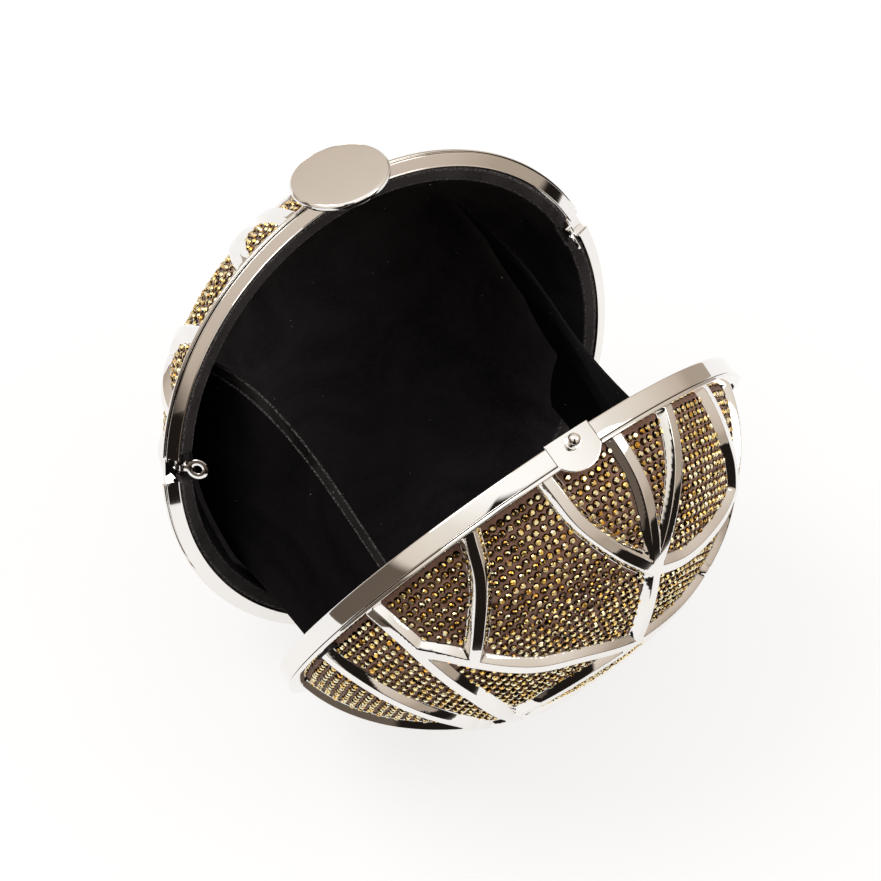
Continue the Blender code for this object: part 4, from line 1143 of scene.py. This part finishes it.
def build_disc(finish):
    """Flat polished clasp disc with a bright bevel, on two ears that turn on the neck's pin."""
    top, bevel = DISC_THICK, DISC_BEVEL
    bottom = RIM_CENTRE + RIM_RADIUS + DISC_RISE
    pivot_height = RIM_CENTRE + RIM_RADIUS + PIVOT_RISE
    edge = [(DISC_RADIUS - 0.3 * MM, 0, 0.2 * MM), (DISC_RADIUS, bevel, 0.2 * MM),
            (DISC_RADIUS, top - bevel, 0.1 * MM), (DISC_RADIUS - bevel, top, 0.1 * MM)]
    outline = [(0, 0)] + eased(edge, 3) + [(DISC_RADIUS - 2 * MM, top), (0, top)]
    pieces = [turned("disc", outline, 128, Matrix.Translation((0, DISC_AHEAD, bottom)))]
    for side in (-1, 1):
        start = side * EAR_START
        pivot = Matrix.Translation((start, PIVOT_DEPTH, pivot_height))
        pivot = pivot @ Matrix.Rotation(side * math.pi / 2, 4, "Y")
        pieces.append(turned("ear", barrel_outline(EAR_SIZE, 0, EAR_SIZE), 32, pivot))
        low, high = sorted((start, start + side * EAR_SIZE))
        near, far = PIVOT_DEPTH - EAR_SIZE, PIVOT_DEPTH + EAR_SIZE
        web = eased([(x, y, 0.1 * MM) for x, y in ((low, near), (high, near), (high, far), (low, far))], 2)
        pieces.append(extruded("web", web, pivot_height, bottom + 0.4 * MM))
    plate = joined("clasp_plate", pieces)
    dress("clasp_plate", plate, BACK_SHELL, "clasp", finish, ["clasp_disc"], sharp=30)


def build_eyelets(finish):
    """Chain eyelets: a ring on an arm, with the barrel that turns on the pin."""
    lie_flat = Matrix.Translation((0, 0, -EYELET_ARM)) @ Matrix.Rotation(math.pi / 2, 4, "X")
    lie_across = Matrix.Rotation(math.pi / 2, 4, "Y")
    half, wide = EYELET_HALF_THICK, EYELET_HALF_WIDTH
    ring = eased([(EYELET_HOLE, -half, 0.2 * MM), (EYELET_RADIUS, -half, 0.3 * MM),
                  (EYELET_RADIUS, half, 0.3 * MM), (EYELET_HOLE, half, 0.2 * MM)], 3)
    arm = eased([(x, y, 0.15 * MM) for x, y in oblong(wide, -half, half)], 3)
    for side, name in ((-1, "left"), (1, "right")):
        place = loop_place(side) @ Matrix.Rotation(-LOOP_SWINGS[side], 4, "X")
        pieces = [turned("ring", ring, 64, place @ lie_flat),
                  turned("barrel", barrel_outline(BARREL_RADIUS, -wide, wide), 32, place @ lie_across),
                  extruded("arm", arm, 2.4 * MM - EYELET_ARM, -0.3 * MM, place)]
        mesh = joined("eyelet_" + name, pieces)
        dress("eyelet_" + name, mesh, BACK_SHELL, "chain_loop_" + name, finish,
              ["chain_loop_" + name], sharp=30)


# Gussets


# Seam of a gusset from its top edge to the rim, in shares of the lining's radius, its waves in shares of the
# rim's, and the size that it was cut to
SEAM_SHARES = [(0.680, 0.500), (0.800, 0.200), (0.880, -0.150), (0.888, -0.410), (0.774, -0.615)]
BOW_SHARES = {"left": (0.054, 0.010), "right": (0.097, 0.066)}
RISE_SHARES = {"left": (0.083, -0.114), "right": (0.190, 0.072)}
SLACK_AT_RIM_SHARE = 0.25
GUSSET_INSET = 7.3 * MM
GUSSET_RUN = 88.0 * MM
GUSSET_RIPPLE = 1.2 * MM


def waves(shares, s):
    """Half and whole waves across a gusset, as a length."""
    return RIM_RADIUS * (shares[0] * math.sin(math.pi * s) + shares[1] * math.sin(2 * math.pi * s))


def seam_spot(t):
    """Point of a gusset's seam on the front lining, at a share of the way from its top edge to the rim."""
    seam = np.array(SEAM_SHARES)
    radius, reach = dome_sizes(GUSSET_INSET)
    across = np.interp(t, np.linspace(0, 1, len(seam)), seam[:, 0]) * radius
    up = np.interp(t, np.linspace(0, 1, len(seam)), seam[:, 1]) * radius
    height = math.sqrt(1 - (across ** 2 + up ** 2) / radius ** 2)
    return Vector((across, -DOME_CENTRE - reach * height, RIM_CENTRE + up))


def build_gussets(pile):
    """Velvet panels between the two linings. Their points crowd towards the hemmed top edge."""
    rows, columns = 48, 72
    for side, name in ((-1, "left"), (1, "right")):
        points, hem = [], []
        for row in range(rows + 1):
            t = (row / rows) ** 1.6
            hem += [1 - t * GUSSET_RUN / HEM_FADE] * (columns + 1)
            spot = seam_spot(t)
            start = FRONT_SHELL @ spot
            end = BACK_SHELL @ Vector((spot.x, -spot.y, spot.z))
            slack = 1 - (1 - SLACK_AT_RIM_SHARE) * t
            for column in range(columns + 1):
                s = column / columns
                point = start.lerp(end, s)
                point.x -= slack * waves(BOW_SHARES[name], s)
                point.z += (1 - t) ** 2 * waves(RISE_SHARES[name], s)
                point.x -= GUSSET_RIPPLE * math.sin(math.pi * s) * math.sin(5.2 * t + 2.2 * s) * t
                point.x *= side
                points.append(point)
        mesh = bpy.data.meshes.new("gusset")
        mesh.from_pydata(points, [], grid_faces(rows, columns))
        piece = dress("side_panel_" + name, mesh, Matrix.Identity(4), None, pile,
                      ["gusset_" + name], sharp=60)
        # The top edge of a panel gets the velvet's paler band of painted sheen
        mark_hem(piece, np.array(hem))
        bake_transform(piece)


# Studio


# Table top of white paper, and the surroundings that the polished metal shows
PAPER_LEFT, PAPER_RIGHT, PAPER_NEAR = -0.45, 0.44, -0.22
DARK_WALL = (0.135, 0.107, 0.084, 1)
DARK_ROOM = (0.014, 0.011, 0.009, 1)
WALL_TONES = [(0.0, (0.44, 0.37, 0.30, 1)), (0.13, (0.60, 0.51, 0.43, 1)), (0.38, (0.72, 0.64, 0.555, 1)),
              (0.62, (0.83, 0.77, 0.68, 1)), (0.77, (0.88, 0.84, 0.77, 1)), (0.87, (1.02, 1.0, 0.96, 1)),
              (0.95, (1.12, 1.11, 1.09, 1))]
FLOOR_TONE = (0.93, 0.92, 0.91, 1)
WHITE = (1, 1, 1, 1)

# Lamps by place, size and power, and the camera
LAMPS = {"key_softbox": ((-0.5, 0.55, 1.25), 0.9, 9.0), "fill_softbox": ((0.8, -0.7, 1.1), 0.8, 4.0)}
LAMP_AIM = (0, 0, 0.06)
CAMERA_PLACE = (-0.2554, -0.3358, 0.7320)
CAMERA_AIM = (0.0127, 0.0211, 0.0442)
CAMERA_LENS = 113.82
LENS_SIDE = (-0.53, -0.848, 0.0)


def studio_room():
    """Room around the table by direction: pale walls, a dark left wall, and the dark behind the lens."""
    group, nodes, links, given, made = new_group("studio_room", [("Vector", "Direction", None)],
                                                 [("Color", "Color")])
    unit = add(nodes, "ShaderNodeVectorMath", operation="NORMALIZE")
    links.new(given.outputs["Direction"], unit.inputs[0])
    split = add(nodes, "ShaderNodeSeparateXYZ")
    links.new(unit.outputs["Vector"], split.inputs["Vector"])
    x, z = split.outputs["X"], split.outputs["Z"]
    walls = ramped(nodes, WALL_TONES)
    links.new(z, walls.inputs["Fac"])
    level = calculated(nodes, links, "SUBTRACT", 1.0, calculated(nodes, links, "MULTIPLY", z, z))
    level = calculated(nodes, links, "MAXIMUM", calculated(nodes, links, "SQRT", level), 0.001)

    towards_left = calculated(nodes, links, "MULTIPLY", x, -1.0)
    towards_left = calculated(nodes, links, "DIVIDE", towards_left, level)
    left, low = softly(nodes, links, towards_left, 0.66, 0.74), softly(nodes, links, z, 0.47, 0.37)
    dark_wall = calculated(nodes, links, "MULTIPLY", left, low)
    colour = mixed(nodes, links, dark_wall, walls.outputs["Color"], DARK_WALL)

    facing = add(nodes, "ShaderNodeVectorMath", operation="DOT_PRODUCT")
    facing.inputs[1].default_value = LENS_SIDE
    links.new(unit.outputs["Vector"], facing.inputs[0])
    towards_lens = calculated(nodes, links, "DIVIDE", facing.outputs["Value"], level)
    near, below = softly(nodes, links, towards_lens, 0.925, 0.955), softly(nodes, links, z, 0.945, 0.90)
    dark_side = calculated(nodes, links, "MULTIPLY", near, below)
    links.new(mixed(nodes, links, dark_side, colour, DARK_ROOM), made.inputs["Color"])
    return group


def floor_material(room):
    """White paper. Seen in the metal it ends at its edges, and it keeps the clutch's shadow."""
    material, nodes, links, shader = new_material("white_floor")
    set_inputs(shader, Base_Color=FLOOR_TONE, Roughness=0.6)
    spot = add(nodes, "ShaderNodeTexCoord").outputs["Object"]
    split = add(nodes, "ShaderNodeSeparateXYZ")
    links.new(spot, split.inputs["Vector"])
    x, y = split.outputs["X"], split.outputs["Y"]
    length = add(nodes, "ShaderNodeVectorMath", operation="LENGTH")
    links.new(spot, length.inputs[0])
    away = length.outputs["Value"]
    path = add(nodes, "ShaderNodeLightPath")

    beyond = calculated(nodes, links, "GREATER_THAN", x, PAPER_RIGHT)
    for side, edge in ((x, PAPER_LEFT), (y, PAPER_NEAR)):
        past = calculated(nodes, links, "LESS_THAN", side, edge)
        beyond = calculated(nodes, links, "MAXIMUM", beyond, past)
    beyond = calculated(nodes, links, "MULTIPLY", beyond, path.outputs["Is Glossy Ray"])
    view = use_group(nodes, room)
    links.new(spot, view.inputs["Direction"])
    front = softly(nodes, links, y, PAPER_NEAR + 0.02, PAPER_NEAR - 0.02)
    front = calculated(nodes, links, "MULTIPLY", front, softly(nodes, links, away, 0.75, 0.60))
    surroundings = mixed(nodes, links, front, view.outputs["Color"], DARK_ROOM)

    white = add(nodes, "ShaderNodeEmission")
    links.new(mixed(nodes, links, beyond, WHITE, surroundings), white.inputs["Color"])
    either = calculated(nodes, links, "MAXIMUM", path.outputs["Is Camera Ray"], path.outputs["Is Glossy Ray"])
    far = softly(nodes, links, away, 0.10, 0.30, least=0.77)
    blend = add(nodes, "ShaderNodeMixShader")
    links.new(calculated(nodes, links, "MULTIPLY", far, either), blend.inputs["Fac"])
    links.new(shader.outputs["BSDF"], blend.inputs[1])
    links.new(white.outputs["Emission"], blend.inputs[2])
    links.new(blend.outputs["Shader"], nodes["Material Output"].inputs["Surface"])
    return material


def build_floor(room):
    """Table top, far wider than the view."""
    mesh = bpy.data.meshes.new("floor")
    mesh.from_pydata([(-3, -3, 0), (3, -3, 0), (3, 3, 0), (-3, 3, 0)], [], [[0, 1, 2, 3]])
    mesh.materials.append(floor_material(room))
    floor = bpy.data.objects.new("floor", mesh)
    bpy.context.scene.collection.objects.link(floor)


def aimed(place, aim):
    """Turn of a lamp or camera at a place that looks at a spot."""
    return (Vector(aim) - Vector(place)).to_track_quat("-Z", "Y").to_euler()


def build_studio():
    """Room, floor, lamps and camera."""
    scene = bpy.context.scene
    scene.view_settings.view_transform = "Standard"
    room = studio_room()
    world = bpy.data.worlds.new("studio")
    scene.world = world
    world.use_nodes = True
    nodes, links = world.node_tree.nodes, world.node_tree.links
    view = use_group(nodes, room)
    links.new(add(nodes, "ShaderNodeTexCoord").outputs["Generated"], view.inputs["Direction"])
    path = add(nodes, "ShaderNodeLightPath")
    backdrop = mixed(nodes, links, path.outputs["Is Camera Ray"], view.outputs["Color"], WHITE)
    links.new(backdrop, nodes["Background"].inputs["Color"])
    nodes["Background"].inputs["Strength"].default_value = 1.0
    build_floor(room)

    for name, (place, size, power) in LAMPS.items():
        light = bpy.data.lights.new(name, "AREA")
        light.shape = "DISK"
        light.size = size
        light.energy = power
        lamp = bpy.data.objects.new(name, light)
        lamp.location = place
        lamp.rotation_euler = aimed(place, LAMP_AIM)
        scene.collection.objects.link(lamp)

    lens = bpy.data.cameras.new("camera")
    lens.lens = CAMERA_LENS
    lens.sensor_width = 36
    lens.clip_start = 0.01
    camera = bpy.data.objects.new("camera", lens)
    camera.location = CAMERA_PLACE
    camera.rotation_euler = aimed(camera.location, CAMERA_AIM)
    scene.collection.objects.link(camera)
    scene.camera = camera


def build_clutch():
    """Finish the nodes that stay, and build the pieces that stand for the others."""
    grain, lint = grain_group(), lint_group()
    polished = chrome(grain)
    pile = velvet("lining_velvet", 1.9, grain, lint)
    # The side panels get the lining velvet at a sixth of its brightness: painted shade
    shaded_side_pile = velvet("side_velvet_painted_shade", 0.3, grain, lint)
    moulded = board(grain)
    slots = {entry["node"]: entry["material_slot"] for entry in frame["record"]["subparts"]}
    for name, item in frame["nodes"].items():
        item.data.materials.clear()
        item.data.materials.append({"chrome": polished, "velvet": pile}.get(slots[name], moulded))
    build_lattices(polished)
    build_bands(polished)
    build_skins(crystal_net(), pile)
    stones = crystal()
    build_crystals("back", BACK_SKIN, stones, 7)
    build_crystals("front", FRONT_SHELL, stones, 11)
    build_catch(polished)
    build_disc(polished)
    build_eyelets(polished)
    build_gussets(shaded_side_pile)


build_clutch()
build_studio()
